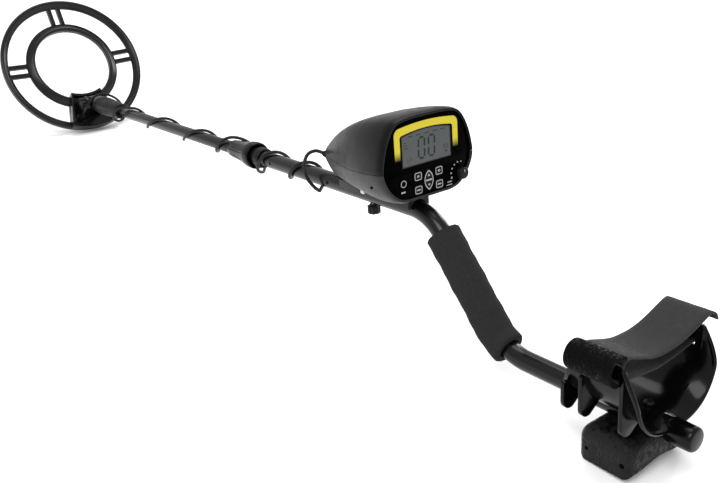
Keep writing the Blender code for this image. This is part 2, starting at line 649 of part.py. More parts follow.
def make_cradle():
    inner, outer = cradle_line(0.0), cradle_line(CRADLE_WALL)
    cradle = flat("arm_cradle", [inner + outer[::-1]], CRADLE_REAR_Y, CRADLE_FRONT_Y, "moulding")
    front, rear = cradle_slopes()
    combine(cradle, front, "DIFFERENCE")
    rim_inner, rim_outer = cradle_line(1.6, 0.0, 13), cradle_line(6.0, 6.0, 13)
    rim = flat("cradle_rim", [rim_inner + rim_outer[::-1]], CRADLE_REAR_Y - 0.4, CRADLE_REAR_Y + 3.2, cutter=True)
    combine(cradle, rim, "UNION")
    combine(cradle, rear, "DIFFERENCE")
    for i, y in enumerate(FIN_YS):
        top = (-78.0, -66.0, -49.0)[i]
        wall = [(x, z) for x, z in cradle_line(CRADLE_WALL / 2) if x > 26 and z < top - 2]
        edge = [(CRADLE_HALF_WIDTH + CRADLE_WALL / 2, top), (CRADLE_HALF_WIDTH + 5.5, top)]
        foot = arc((CRADLE_HALF_WIDTH - 2.5, -95.5), 8.0, 0, -100, 6)
        outline = edge + foot + wall
        for name, sign in (("left", -1), ("right", 1)):
            fin = flat(f"fin_{i}_{name}", [[(sign * x, z) for x, z in outline]], y - 1.7, y + 1.7, cutter=True)
            combine(cradle, fin, "UNION")
    for name, sign in (("left", -1), ("right", 1)):
        slot = box(f"strap_slot_{name}", (sign * 48 - 12, -531.5, -62.5), (sign * 48 + 12, -500.0, -57.0),
                   cutter=True)
        combine(cradle, slot, "DIFFERENCE")
    relief = rod("cradle_tube_relief", TUBE_R + 1.5, (0, -460, ARM_Z), (0, -560, ARM_Z), sides=32, cutter=True)
    combine(cradle, relief, "DIFFERENCE")
    for i, y in enumerate(CRADLE_SCREW_YS):
        hole = rod(f"cradle_hole_{i}", 2.4, (0, y, -110), (0, y, -90), sides=12, cutter=True)
        combine(cradle, hole, "DIFFERENCE")


def make_stand():
    """A tub, open below, that straddles the arm tube; its two long edges are the runners it stands on."""
    middle = (0.0, (STAND_FRONT_Y + STAND_REAR_Y) / 2)
    size = (2 * STAND_HALF_WIDTH, STAND_FRONT_Y - STAND_REAR_Y)
    stand = flat("ground_stand", [rounded_rectangle(middle, size, 8.0)], STAND_SOLE_Z, STAND_TOP_Z, plane="XY")
    bevel(stand, 7.0, 3, 60)
    trough = (size[0] - 2 * STAND_WALL, size[1] - 2 * STAND_WALL)
    hollow = flat("stand_hollow", [rounded_rectangle(middle, trough, 4.0)], STAND_SOLE_Z - 5, STAND_TOP_Z - 8.5,
                  plane="XY", cutter=True)
    combine(stand, hollow, "DIFFERENCE")
    level = box("sole_level", (-60, -560, STAND_SOLE_Z - 20), (60, -460, STAND_SOLE_Z + 4.0), cutter=True)
    combine(stand, level, "DIFFERENCE")
    relief = rod("stand_tube_relief", TUBE_R + GAP, (0, -460, ARM_Z), (0, -560, ARM_Z), sides=32, cutter=True)
    combine(stand, relief, "DIFFERENCE")
    for name, y in (("front", STAND_FRONT_Y), ("rear", STAND_REAR_Y)):
        arch = [(-24.0, -160.0), (24.0, -160.0)] + arc((0, -203.6), 62.0, 67, 113, 8)
        notch = flat(f"stand_arch_{name}", [arch], y - 12, y + 12, cutter=True)
        combine(stand, notch, "DIFFERENCE")
    for i, y in enumerate(CRADLE_SCREW_YS):
        hole = rod(f"stand_hole_{i}", 2.4, (0, y, -135), (0, y, -110), sides=12, cutter=True)
        combine(stand, hole, "DIFFERENCE")
        screw = [(0, -96.6), (2.8, -96.6), (4.2, -98.0), (4.2, -99.0), (2.0, -99.0), (2.0, -131.5), (0, -131.5)]
        name = ("front", "rear")[i]
        turned(f"cradle_screw_{name}", screw, "steel", centre=(0, y, 0), axis=UPRIGHT, steps=14)
        nut = [(2.4, -127.2), (4.6, -127.2), (4.6, -130.6), (2.4, -130.6)]
        turned(f"stand_nut_{name}", nut, "steel", centre=(0, y, 0), axis=UPRIGHT, steps=6)
    for i, (y, radius) in enumerate(((STAND_FRONT_Y - 10, 1.8), (STAND_REAR_Y + 8, 2.6))):
        peg = rod(f"peg_hole_{i}", radius, (-50, y, -138), (50, y, -138), sides=12, cutter=True)
        combine(stand, peg, "DIFFERENCE")


def strap_line():
    """The strap's run in section: right slot, under layer, left slot, fold outside, top layer, loose end."""
    return [(58.0, -59.8), (52.0, -59.8), (44.0, -59.8), (30.0, -62.0), (0.0, -64.5), (-30.0, -62.0),
            (-44.0, -59.8), (-51.0, -59.8), (-56.5, -58.5), (-60.0, -54.0), (-61.0, -48.0), (-59.5, -42.0),
            (-55.0, -37.8), (-48.0, -37.0), (-36.0, -42.0), (-18.0, -48.0), (0.0, -50.5), (18.0, -48.5),
            (32.0, -43.0), (42.0, -37.0), (48.0, -33.8), (53.0, -34.6), (56.5, -39.5)]


def make_strap():
    path = [p.to_2d() for p in smooth_path([(x, z, 0) for x, z in strap_line()], 2)]
    curve = curve_object("arm_strap", [path], extrude=14.8)
    curve.dimensions = "2D"
    curve.fill_mode = "NONE"
    thing = bpy.data.objects.new("arm_strap_line", curve)
    PARTS.objects.link(thing)
    thing.parent = STEM
    thing.rotation_euler = (math.pi / 2, 0, 0)
    thing.location = (0, -515.8 * MM, 0)
    strap = curve_to_mesh(thing, "arm_strap", "webbing", STEM, False)
    body = strap.modifiers.new("body", "SOLIDIFY")
    body.thickness = 2.2 * MM
    body.offset = 0.0
    body.use_even_offset = True


# ---------------------------------------------------------------- lower stem fitting and coil

def make_fitting():
    """The socket on the stem's end, narrowing to a flat tongue that turns between the coil's ears."""
    profile = [(STEM_R + GAP, 495.0), (12.4, 495.0), (12.8, 499.0), (15.4, 560.0), (14.6, 590.0), (10.0, 604.0),
               (0.0, 604.0), (0.0, 548.0), (STEM_R + GAP, 548.0)]
    fitting = turned("stem_fitting", profile, "moulding", steps=32)
    tongue = flat("tongue", [arc((PIVOT_Y, 0), 11.0, -90, 90, 12) + [(560.0, 11.0), (560.0, -11.0)]], -7.6, 7.6,
                  plane="YZ", cutter=True)
    combine(fitting, tongue, "UNION")
    hole = rod("tongue_hole", 3.35, (-20, PIVOT_Y, 0), (20, PIVOT_Y, 0), sides=20, cutter=True)
    combine(fitting, hole, "DIFFERENCE")
    for name, sign in (("left", -1), ("right", 1)):
        cheek = box(f"cheek_{name}", (sign * 17 - 9.2, 592, -20), (sign * 17 + 9.2, 650, 20), cutter=True)
        combine(fitting, cheek, "DIFFERENCE")


def ring_profile(tall_r, low_r):
    """A hollow ring section, open below: a tall wall at one side, a crown, and a slope down to the other side."""
    side = 1 if low_r > tall_r else -1
    width = abs(low_r - tall_r)
    shape = [(0.0, -3.0), (1.4, -0.8), (3.9, 0.0), (width - 1.3, -5.6), (width, -7.6), (width, -COIL_DEPTH),
             (width - 2.4, -COIL_DEPTH), (width - 2.4, -7.6), (4.3, -3.2), (2.4, -4.4), (2.4, -COIL_DEPTH),
             (0.0, -COIL_DEPTH)]
    return [(tall_r + side * offset, height) for offset, height in shape]


def sector(inner_r, inner_deg, outer_r, outer_deg, count=8):
    """A slice of a ring about the coil's rear, as (x, forward) points, each arc with its own half angle."""
    return arc((0, 0), outer_r, -90 - outer_deg, -90 + outer_deg, count) + \
        arc((0, 0), inner_r, -90 + inner_deg, -90 - inner_deg, count)


def make_coil():
    shell = turned("coil_shell", ring_profile(COIL_R, COIL_GAP_OUTER_R), "coil_plastic", COIL, axis=UPRIGHT,
                   steps=48)
    inner = turned("inner_ring", ring_profile(COIL_HOLE_R, COIL_GAP_INNER_R), "coil_plastic", COIL, axis=UPRIGHT,
                   steps=40, cutter=True)
    combine(shell, inner, "UNION")
    reach = (COIL_GAP_INNER_R - 0.8, COIL_GAP_OUTER_R + 0.8)
    for place, turn in (("front", 0), ("left", SIDE_SPOKE_DEG), ("right", -SIDE_SPOKE_DEG)):
        for i, sign in enumerate((-1, 1)):
            middle = sign * SPOKE_PITCH / 2
            half = SPOKE_WIDTH / 2
            spoke = box(f"spoke_{place}_{i}", (middle - half, reach[0], -COIL_DEPTH + 0.15),
                        (middle + half, reach[1], -5.2), parent=COIL, cutter=True)
            spoke.location = Matrix.Rotation(math.radians(turn), 4, "Z") @ spoke.location
            spoke.rotation_euler = (0, 0, math.radians(turn))
            combine(shell, spoke, "UNION")
    outlines = [sector(80.2, 23.5, 109.3, 20.5), sector(82.5, 22.0, 107.0, 19.2)[::-1]]
    skirt = flat("yoke_skirt", outlines, -COIL_DEPTH + 0.1, -2.0, parent=COIL, plane="XY", cutter=True)
    combine(shell, skirt, "UNION")
    block = flat("yoke_block", [sector(COIL_HOLE_R - 2.5, 25.0, COIL_R + 1.2, 19.8)], -2.6, 13.5,
                 parent=COIL, plane="XY", cutter=True)
    pocket = flat("yoke_pocket", [sector(COIL_HOLE_R + 1.6, 22.3, COIL_R - 2.4, 17.9)], 0.5, 20.0,
                  parent=COIL, plane="XY", cutter=True)
    combine(shell, combine(block, pocket, "DIFFERENCE"), "UNION")
    for name, low, high in (("left", -14.4, -9.4), ("right", 9.4, 14.4)):
        outline = arc((PIVOT_F, PIVOT_N), 11.5, 0, 180, 12) + [(PIVOT_F - 16, -1.0), (PIVOT_F + 14, -1.0)]
        ear = flat(f"ear_{name}", [outline], low, high, parent=COIL, plane="YZ", cutter=True)
        combine(shell, ear, "UNION")
    bolt_hole = rod("ear_hole", 3.3, (-30, PIVOT_F, PIVOT_N), (30, PIVOT_F, PIVOT_N), parent=COIL, sides=20,
                    cutter=True)
    combine(shell, bolt_hole, "DIFFERENCE")
    gland_hole = rod("gland_hole", 3.3, (-22, -104, -3), (-22, -104, 6), parent=COIL, sides=16, cutter=True)
    combine(shell, gland_hole, "DIFFERENCE")

    make_coil_base()
    top = -COIL_DEPTH + 0.5
    for name, tall_r, side in (("winding_outer", COIL_R, -1), ("winding_inner", COIL_HOLE_R, 1)):
        near, far = tall_r + side * 2.9, tall_r + side * 8.0
        section = [(near, top + 3.4), (near, top), (far, top), (far, top + 2.0)]
        turned(name, section, "copper", COIL, axis=UPRIGHT, steps=40)
    gland = [(2.35, 8.0), (3.4, 8.0), (4.6, 1.4), (4.6, 0.85), (2.95, 0.85), (2.95, -2.9), (2.35, -2.9)]
    turned("cable_gland", gland, "rubber", COIL, centre=(-22, -104, 0), axis=UPRIGHT, steps=16)


def make_coil_base():
    """The flat cover that closes the rings, the spokes and the yoke block from below."""
    high, low = -COIL_DEPTH - GAP, -COIL_DEPTH - GAP - 2.2
    base = turned("coil_base", [(COIL_R - 0.3, high), (COIL_R - 0.3, low + 0.8), (COIL_R - 1.2, low),
                                (COIL_GAP_OUTER_R + 0.3, low), (COIL_GAP_OUTER_R + 0.3, high)],
                  "coil_plastic", COIL, axis=UPRIGHT, steps=48)
    inner = turned("base_inner", [(COIL_GAP_INNER_R - 0.3, high - 0.03), (COIL_GAP_INNER_R - 0.3, low + 0.02),
                                  (COIL_HOLE_R + 0.3, low + 0.02), (COIL_HOLE_R + 0.3, high - 0.03)],
                   "coil_plastic", COIL, axis=UPRIGHT, steps=40, cutter=True)
    combine(base, inner, "UNION")
    for place, turn in (("front", 0), ("left", SIDE_SPOKE_DEG), ("right", -SIDE_SPOKE_DEG)):
        for i, sign in enumerate((-1, 1)):
            middle = sign * SPOKE_PITCH / 2
            half = SPOKE_WIDTH / 2 - 0.2
            strip = box(f"base_spoke_{place}_{i}", (middle - half, COIL_GAP_INNER_R - 1.2, low + 0.1),
                        (middle + half, COIL_GAP_OUTER_R + 1.2, high - 0.1), parent=COIL, cutter=True)
            strip.location = Matrix.Rotation(math.radians(turn), 4, "Z") @ strip.location
            strip.rotation_euler = (0, 0, math.radians(turn))
            combine(base, strip, "UNION")
    web = flat("base_web", [sector(COIL_HOLE_R + 1.0, 24.0, COIL_R - 1.5, 19.5)], low + 0.15, high - 0.15,
               parent=COIL, plane="XY", cutter=True)
    combine(base, web, "UNION")


def make_pivot():
    """The cross bolt on the coil, its rubber friction washers, and the hand knob on its left end."""
    bolt = [(0, 19.4), (5.4, 19.4), (5.8, 18.8), (5.8, 14.9), (3.0, 14.9), (3.0, -17.0), (0, -17.0)]
    place = (0, PIVOT_F, PIVOT_N)
    turned("pivot_bolt", bolt, "moulding", COIL, centre=place, axis=ALONG_X, steps=20)
    for name, low, high in (("washer_left", -9.1, -7.95), ("washer_right", 7.95, 9.1)):
        turned(name, [(3.4, high), (8.5, high), (8.5, low), (3.4, low)], "rubber", COIL, centre=place,
               axis=ALONG_X, steps=20)
    lobes, waist, tip = 5, 8.6, 11.0
    outline = []
    for i in range(lobes * 8):
        angle = 2 * math.pi * i / (lobes * 8)
        radius = waist + (tip - waist) * (0.5 + 0.5 * math.cos(lobes * angle))
        outline.append((PIVOT_F + radius * math.cos(angle), PIVOT_N + radius * math.sin(angle)))
    knob = flat("pivot_knob", [outline], -23.4, -14.9, "moulding", COIL, plane="YZ")
    bore = rod("pivot_knob_bore", 3.25, (-18.5, PIVOT_F, PIVOT_N), (-10, PIVOT_F, PIVOT_N), parent=COIL,
               sides=20, cutter=True)
    combine(knob, bore, "DIFFERENCE")


# ---------------------------------------------------------------- coil cable

# How far the cable's middle lies from the stem's axis, as (y, radius): it steps out over the twist lock
CABLE_OFFSETS = ((140.0, 11.05), (122.0, 13.4), (112.0, 14.4), (90.0, 15.6), (74.0, 17.6), (64.0, 20.6), (48.0, 20.6),
                 (36.0, 16.6), (26.0, 12.25))


def winding_radius(y):
    for (high, high_r), (low, low_r) in zip(CABLE_OFFSETS, CABLE_OFFSETS[1:]):
        if high >= y >= low:
            return low_r + (high_r - low_r) * (y - low) / (high - low)
    return CABLE_OFFSETS[0][1] if y > CABLE_OFFSETS[0][0] else CABLE_OFFSETS[-1][1]


def winding(crossings, first_turn):
    """Points round the stem; each crossing is half a turn after the one before, the first is at the top."""
    per_half = 6
    points = []
    for i, (a, b) in enumerate(zip(crossings, crossings[1:])):
        for k in range(per_half):
            t = k / per_half
            y = a + (b - a) * t
            angle = math.pi * (first_turn + i + t)
            radius = winding_radius(y)
            points.append((radius * math.sin(angle), y, radius * math.cos(angle)))
    angle = math.pi * (first_turn + len(crossings) - 1)
    points.append((winding_radius(crossings[-1]) * math.sin(angle), crossings[-1],
                   winding_radius(crossings[-1]) * math.cos(angle)))
    return points


def make_cable():
    split = 7
    tube_along("cable_lower", winding(CABLE_CROSSINGS_Y[:split], 0), CABLE_R, "cable")
    upper = winding(CABLE_CROSSINGS_Y[split - 1:], split - 1)[1:]
    loop = [(-7.0, -93.0, -14.0), (-14.5, -94.0, -7.0), (-19.0, -88.0, 4.0), (-17.0, -82.0, 17.0),
            (-10.0, -80.5, 27.0), (-3.0, -86.0, 30.5), (0.0, -93.5, 29.4), (0.0, -98.0, 29.0)]
    tube_along("cable_upper", upper[:-1] + smooth_path(loop, 3), CABLE_R, "cable")
    tail = [(0.0, 458.5, 10.6), (-6.0, 470.0, 10.5), (-13.0, 483.0, 7.5), (-16.0, 494.0, -1.0),
            (-12.5, 502.0, -11.0), (-3.0, 508.0, -17.0), (9.0, 516.0, -15.0), (17.0, 530.0, -5.0),
            (16.5, 548.0, 9.0), (8.0, 566.0, 18.0), (-5.0, 580.0, 19.5), (-16.5, 590.0, 10.0), (-24.0, 600.0, -4.0)]
    gland_top = stem_point(-22.0, -104.0, 8.4)
    above = stem_point(-22.5, -104.0, 16.0)
    tube_along("cable_tail", smooth_path(tail + [above, gland_top], 2), CABLE_R, "cable")


def stem_point(x, forward, height):
    """A point of the coil's frame, in the stem's frame."""
    tilt = math.radians(COIL_DEG)
    forward, height = forward - PIVOT_F, height - PIVOT_N
    return (x, PIVOT_Y + forward * math.cos(tilt) - height * math.sin(tilt),
            forward * math.sin(tilt) + height * math.cos(tilt))


# ---------------------------------------------------------------- standing it on the ground

def world_points(names):
    """The corners of the named pieces as they stand, in metres."""
    bpy.context.view_layer.update()
    graph = bpy.context.evaluated_depsgraph_get()
    points = []
    for name in names:
        thing = bpy.data.objects[name].evaluated_get(graph)
        mesh = thing.to_mesh()
        points += [thing.matrix_world @ v.co for v in mesh.vertices]
        thing.to_mesh_clear()
    return points


def stand_up():
    """Tip the stem until stand and coil touch the ground together, then centre the whole over the origin."""
    stand = world_points(["ground_stand"])
    coil = world_points(["coil_base", "coil_shell"])

    def lowest(points, tilt):
        return min(p.z * math.cos(tilt) - p.y * math.sin(tilt) for p in points)

    low, high = 0.0, math.radians(15)
    for _ in range(50):
        middle = (low + high) / 2
        if lowest(coil, middle) > lowest(stand, middle):
            low = middle
        else:
            high = middle
    STEM.rotation_euler = (-low, 0, 0)
    points = world_points([thing.name for thing in PARTS.objects if thing.type == "MESH"])
    middle_of = [(min(p[i] for p in points) + max(p[i] for p in points)) / 2 for i in range(2)]
    STEM.location = (-middle_of[0], -middle_of[1], -min(p.z for p in points))


make_tubes()
make_twist_lock()
make_box_shells()
make_saddle()
make_panel()
make_controls()
make_box_contents()
make_thumb_screw()
make_cradle()
make_stand()
make_strap()
make_fitting()
make_coil()
make_pivot()
make_cable()
stand_up()
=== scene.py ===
"""The metal detector's looks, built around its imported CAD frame.

Shapes are drawn in millimetres in the stem's own frame (Y along the stem to the coil, Z up) or in the coil's
frame (Y forward in its plane, Z square to it), and are moved into the row frame as each mesh is made.
"""
import json
from math import asin, atan2, copysign, cos, degrees, pi, radians, sin, sqrt, tan

import bmesh
import bpy
from mathutils import Matrix, Vector, noise


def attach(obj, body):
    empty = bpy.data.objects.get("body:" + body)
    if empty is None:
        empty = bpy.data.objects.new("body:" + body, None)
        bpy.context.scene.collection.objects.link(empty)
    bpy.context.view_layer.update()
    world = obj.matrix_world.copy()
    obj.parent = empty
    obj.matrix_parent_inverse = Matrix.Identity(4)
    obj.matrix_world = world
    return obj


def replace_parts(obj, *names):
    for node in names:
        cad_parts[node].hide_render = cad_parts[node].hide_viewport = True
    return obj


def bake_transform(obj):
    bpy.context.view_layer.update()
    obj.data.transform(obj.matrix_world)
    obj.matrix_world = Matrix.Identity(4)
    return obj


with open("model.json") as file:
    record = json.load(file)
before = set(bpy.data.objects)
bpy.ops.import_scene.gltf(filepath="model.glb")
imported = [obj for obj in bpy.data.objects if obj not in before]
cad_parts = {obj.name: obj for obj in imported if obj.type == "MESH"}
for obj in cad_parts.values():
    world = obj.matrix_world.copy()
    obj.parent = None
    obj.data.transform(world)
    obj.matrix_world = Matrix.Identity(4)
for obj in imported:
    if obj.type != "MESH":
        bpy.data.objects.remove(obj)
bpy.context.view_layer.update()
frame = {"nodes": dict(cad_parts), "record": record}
JOINTS = {joint["name"]: joint for joint in frame["record"]["behaviour"]["joints"]}

MM = 0.001
PIVOT_Y = 627.5
PIVOT_F, PIVOT_N = -86.0, 30.0
COIL_DEG = 62.1
ARM_Z = -112.6
PANEL_Y = -273.5
FACE_Y = -275.5
NOSE_Y = -108.0
PORT_Z = 29.0                # where the cable enters the box's nose
TRIM_FOOT = 58.5             # lower ends of the yellow band
CLAMP_Y = -184.0             # thumb screw that clamps the box
BUTTON_Y = -113.0            # spring button in the upper tube
GRIP_Y = (-377.5, -290.5)    # rear and front end of the foam
SCREW_YS = (-496.0, -524.0)  # cradle screws, front and rear
GLAND = (-22.0, -104.0)      # cable gland, in the coil's frame

forward = Vector(JOINTS["stem_slide"]["axis"])
PIVOT = Vector(JOINTS["coil_tilt"]["pos_m"])
STEM = (Matrix.Translation(PIVOT) @ Matrix.Rotation(atan2(forward.z, forward.y), 4, "X")
        @ Matrix.Translation((0, -PIVOT_Y * MM, 0)))
COIL = (STEM @ Matrix.Translation((0, PIVOT_Y * MM, 0)) @ Matrix.Rotation(radians(COIL_DEG), 4, "X")
        @ Matrix.Translation((0, -PIVOT_F * MM, -PIVOT_N * MM)))


# Camera, light, floor

def make_camera():
    """The lens and place of the camera, in the stem's frame."""
    heading, dip, roll = 35.293, 20.746, -4.469
    turn = (Matrix.Rotation(-radians(heading), 4, "Z") @ Matrix.Rotation(radians(90 - dip), 4, "X")
            @ Matrix.Rotation(radians(roll), 4, "Z"))
    data = bpy.data.cameras.new("camera")
    data.sensor_width = 36.0
    data.lens = 42.49
    data.clip_end = 60.0
    camera = bpy.data.objects.new("camera", data)
    bpy.context.scene.collection.objects.link(camera)
    camera.matrix_world = STEM @ Matrix.Translation(Vector((-502.1, -863.2, 268.1)) * MM) @ turn
    bpy.context.scene.camera = camera


def area_light(name, place, target, size, power):
    data = bpy.data.lights.new(name, "AREA")
    data.shape = "RECTANGLE"
    data.size, data.size_y = size
    data.energy = power
    lamp = bpy.data.objects.new(name, data)
    bpy.context.scene.collection.objects.link(lamp)
    lamp.location = place
    lamp.rotation_euler = (Vector(target) - Vector(place)).to_track_quat("-Z", "Y").to_euler()
    return lamp


def make_studio():
    world = bpy.data.worlds.new("studio")
    bpy.context.scene.world = world
    world.use_nodes = True
    background = world.node_tree.nodes["Background"]
    background.inputs["Color"].default_value = (1.0, 1.0, 1.0, 1.0)
    background.inputs["Strength"].default_value = 0.92
    area_light("key", (-1.6, -1.2, 2.4), (0, 0, 0.1), (1.6, 1.6), 55.0)
    area_light("top", (0.6, 0.6, 2.6), (0, 0.1, 0.1), (1.2, 2.2), 30.0)
    area_light("rim", (2.2, 0.4, 1.2), (0, 0, 0.1), (0.6, 1.6), 22.0)
    bpy.context.scene.view_settings.view_transform = "Standard"
    bm = bmesh.new()
    bmesh.ops.create_grid(bm, x_segments=1, y_segments=1, size=30.0)
    mesh = bpy.data.meshes.new("floor")
    bm.to_mesh(mesh)
    bm.free()
    floor = bpy.data.objects.new("floor", mesh)
    bpy.context.scene.collection.objects.link(floor)
    floor.location.z = -0.0005
    mesh.materials.append(finish("floor_paper", (0.93, 0.93, 0.93), 0.9))


# Materials

def node(tree, kind, **values):
    """A new shader node with values for its sockets; _ stands for a space in their names."""
    made = tree.nodes.new("ShaderNode" + kind)
    for socket, value in values.items():
        made.inputs[socket.replace("_", " ")].default_value = value
    return made


def bump_by(tree, height, strength, distance):
    """Raises the shader's surface by a height output."""
    bump = node(tree, "Bump", Strength=strength, Distance=distance)
    tree.links.new(height, bump.inputs["Height"])
    tree.links.new(bump.outputs["Normal"], tree.nodes["Principled BSDF"].inputs["Normal"])


def finish(name, colour, roughness, metallic=0.0, grain=0.0, grain_size=0.5, mottle=0.0, mottle_size=12.0,
           coat=0.0, specular=0.5, sheen=0.0):
    """A plastic, paint, metal or cloth: colour mottling and fine grain from noise, all in millimetres."""
    material = bpy.data.materials.new(name)
    material.use_nodes = True
    tree = material.node_tree
    link = tree.links.new
    shader = tree.nodes["Principled BSDF"]
    values = {"Base Color": (*colour, 1.0), "Roughness": roughness, "Metallic": metallic, "Coat Weight": coat,
              "Coat Roughness": 0.08, "Specular IOR Level": specular, "Sheen Weight": sheen}
    for socket, value in values.items():
        shader.inputs[socket].default_value = value
    place = node(tree, "TexCoord")
    if mottle:
        cloud = node(tree, "TexNoise", Scale=1000.0 / mottle_size, Detail=4.0)
        link(place.outputs["Object"], cloud.inputs["Vector"])
        ramp = node(tree, "MapRange", From_Min=0.3, From_Max=0.7, To_Min=1.0 - mottle, To_Max=1.0 + mottle)
        link(cloud.outputs["Fac"], ramp.inputs["Value"])
        shade = node(tree, "VectorMath")
        shade.operation = "SCALE"
        shade.inputs[0].default_value = colour
        link(ramp.outputs["Result"], shade.inputs["Scale"])
        link(shade.outputs["Vector"], shader.inputs["Base Color"])
        rough = node(tree, "Math")
        rough.operation = "MULTIPLY"
        rough.inputs[1].default_value = roughness
        link(ramp.outputs["Result"], rough.inputs[0])
        link(rough.outputs["Value"], shader.inputs["Roughness"])
    if grain:
        fine = node(tree, "TexNoise", Scale=1000.0 / grain_size, Detail=3.0)
        link(place.outputs["Object"], fine.inputs["Vector"])
        bump_by(tree, fine.outputs["Fac"], grain, grain_size * MM * 0.4)
    return material


def weave(name, colour, spacing):
    """Webbing: two crossed sets of threads, and a little sheen."""
    material = finish(name, colour, 0.85, sheen=0.05, mottle=0.35, mottle_size=3.0, specular=0.15)
    tree = material.node_tree
    place = node(tree, "TexCoord")
    both = node(tree, "Math")
    both.operation = "MULTIPLY"
    for i, direction in enumerate("XY"):
        thread = node(tree, "TexWave", Scale=314.0 / spacing, Distortion=1.2, Detail=2.0)
        thread.bands_direction = direction
        tree.links.new(place.outputs["Object"], thread.inputs["Vector"])
        tree.links.new(thread.outputs["Fac"], both.inputs[i])
    bump_by(tree, both.outputs["Value"], 0.7, 0.0004)
    return material


def fading_trim():
    """Yellow print that fades into the black panel towards both lower ends."""
    yellow = (0.54, 0.45, 0.028)
    material = finish("trim_yellow", yellow, 0.42, specular=0.15)
    tree = material.node_tree
    place = node(tree, "TexCoord")
    parts = node(tree, "SeparateXYZ")
    tree.links.new(place.outputs["Object"], parts.inputs["Vector"])
    low, high = [(STEM @ (Vector((0, PANEL_Y, z)) * MM)).z for z in (TRIM_FOOT, TRIM_FOOT + 8.5)]
    ramp = node(tree, "MapRange", From_Min=low, From_Max=high)
    tree.links.new(parts.outputs["Z"], ramp.inputs["Value"])
    mix = node(tree, "Mix")
    mix.data_type = "RGBA"
    mix.inputs["A"].default_value = (0.001, 0.001, 0.001, 1.0)
    mix.inputs["B"].default_value = (*yellow, 1.0)
    tree.links.new(ramp.outputs["Result"], mix.inputs["Factor"])
    tree.links.new(mix.outputs["Result"], tree.nodes["Principled BSDF"].inputs["Base Color"])
    return material


TUBE = finish("tube_black", (0.002, 0.002, 0.0022), 0.25, mottle=0.15, mottle_size=30, coat=0.12,
              specular=0.18)
MOULDED = finish("moulded_black", (0.004, 0.004, 0.0043), 0.42, grain=0.25, grain_size=0.8, mottle=0.2,
                 specular=0.15)
STAND_BLACK = finish("stand_black", (0.006, 0.006, 0.0062), 0.50, grain=1.0, grain_size=2.4, mottle=0.8,
                     mottle_size=5.0, specular=0.15)
GLOSSY = finish("glossy_black", (0.0012, 0.0012, 0.0014), 0.19, mottle=0.2, mottle_size=25, coat=0.07,
                specular=0.12)
COIL_BLACK = finish("coil_black", (0.002, 0.002, 0.0022), 0.24, grain=0.12, grain_size=1.0, mottle=0.15,
                    specular=0.25)
BOX_BLACK = finish("box_black", (0.003, 0.003, 0.0032), 0.36, grain=0.22, grain_size=0.7, mottle=0.12,
                   specular=0.09)
BOX_GREY = finish("box_grey", (0.015, 0.015, 0.0155), 0.45, grain=0.22, grain_size=0.7, mottle=0.12,
                  specular=0.18)
PANEL_BLACK = finish("panel_black", (0.0004, 0.0004, 0.0005), 0.22, mottle=0.2, specular=0.01)
RUBBER = finish("rubber_black", (0.003, 0.003, 0.003), 0.62, grain=0.3, grain_size=0.6, mottle=0.2,
                specular=0.1)
PRINT = finish("print_white", (0.32, 0.33, 0.325), 0.5, specular=0.2)
GLASS_GREY = finish("display_grey", (0.052, 0.057, 0.057), 0.26, mottle=0.04, mottle_size=20, coat=0.15,
                    specular=0.25)
SEGMENT = finish("segment_dark", (0.012, 0.014, 0.014), 0.3, specular=0.15)
FOAM = finish("foam_grip_black", (0.016, 0.016, 0.0163), 0.95, grain=1.0, grain_size=0.9, mottle=0.3,
              mottle_size=2.0, specular=0.12)
FUZZ = finish("loop_fabric", (0.0014, 0.0014, 0.0014), 0.95, grain=1.0, grain_size=1.6, mottle=0.9,
              mottle_size=2.6, sheen=0.02, specular=0.05)
WEB = weave("strap_webbing", (0.024, 0.024, 0.0243), 1.1)
CABLE = finish("cable_black", (0.003, 0.003, 0.003), 0.42, mottle=0.2, specular=0.2)
STEEL = finish("zinc_steel", (0.50, 0.50, 0.51), 0.30, metallic=1.0, mottle=0.1)
TRIM = fading_trim()


# Shapes

def add(name, bm, material, where=STEM, body="frame", replaces=(), sharp=35, ride=True):
    """A finished mesh, in the row frame, riding on its body."""
    bmesh.ops.transform(bm, matrix=where @ Matrix.Diagonal((MM, MM, MM, 1)), verts=bm.verts)
    bmesh.ops.recalc_face_normals(bm, faces=bm.faces)
    mesh = bpy.data.meshes.new(name)
    bm.to_mesh(mesh)
    bm.free()
    thing = bpy.data.objects.new(name, mesh)
    bpy.context.scene.collection.objects.link(thing)
    mesh.materials.append(material)
    mesh.shade_smooth()
    mesh.set_sharp_from_angle(angle=radians(sharp))
    if replaces:
        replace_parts(thing, *replaces)
    if ride:
        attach(thing, body)
    return thing


def settle(thing, sharp=35):
    """Applies a piece's modifiers."""
    bpy.context.view_layer.update()
    evaluated = thing.evaluated_get(bpy.context.evaluated_depsgraph_get())
    mesh = bpy.data.meshes.new_from_object(evaluated)
    thing.modifiers.clear()
    thing.data = mesh
    mesh.shade_smooth()
    mesh.set_sharp_from_angle(angle=radians(sharp))
    return thing


def solid(bm, where=STEM):
    """A shape that only joins or cuts another."""
    return add("cutter", bm, MOULDED, where, ride=False)


def carve(thing, shapes, operation="DIFFERENCE", where=STEM):
    """Booleans a piece with other shapes, which then go."""
    cutters = [solid(shape, where) if isinstance(shape, bmesh.types.BMesh) else shape for shape in shapes]
    for cutter in cutters:
        modifier = thing.modifiers.new("cut", "BOOLEAN")
        modifier.object = cutter
        modifier.operation = operation
        modifier.solver = "EXACT"
    settle(thing)
    for cutter in cutters:
        bpy.data.objects.remove(cutter, do_unlink=True)
    return thing


def hollow(thing, wall, even=False):
    """Gives an open skin a wall, inwards."""
    modifier = thing.modifiers.new("wall", "SOLIDIFY")
    modifier.thickness = wall * MM
    modifier.offset = -1.0
    if even:
        modifier.use_even_offset = True
    return settle(thing)


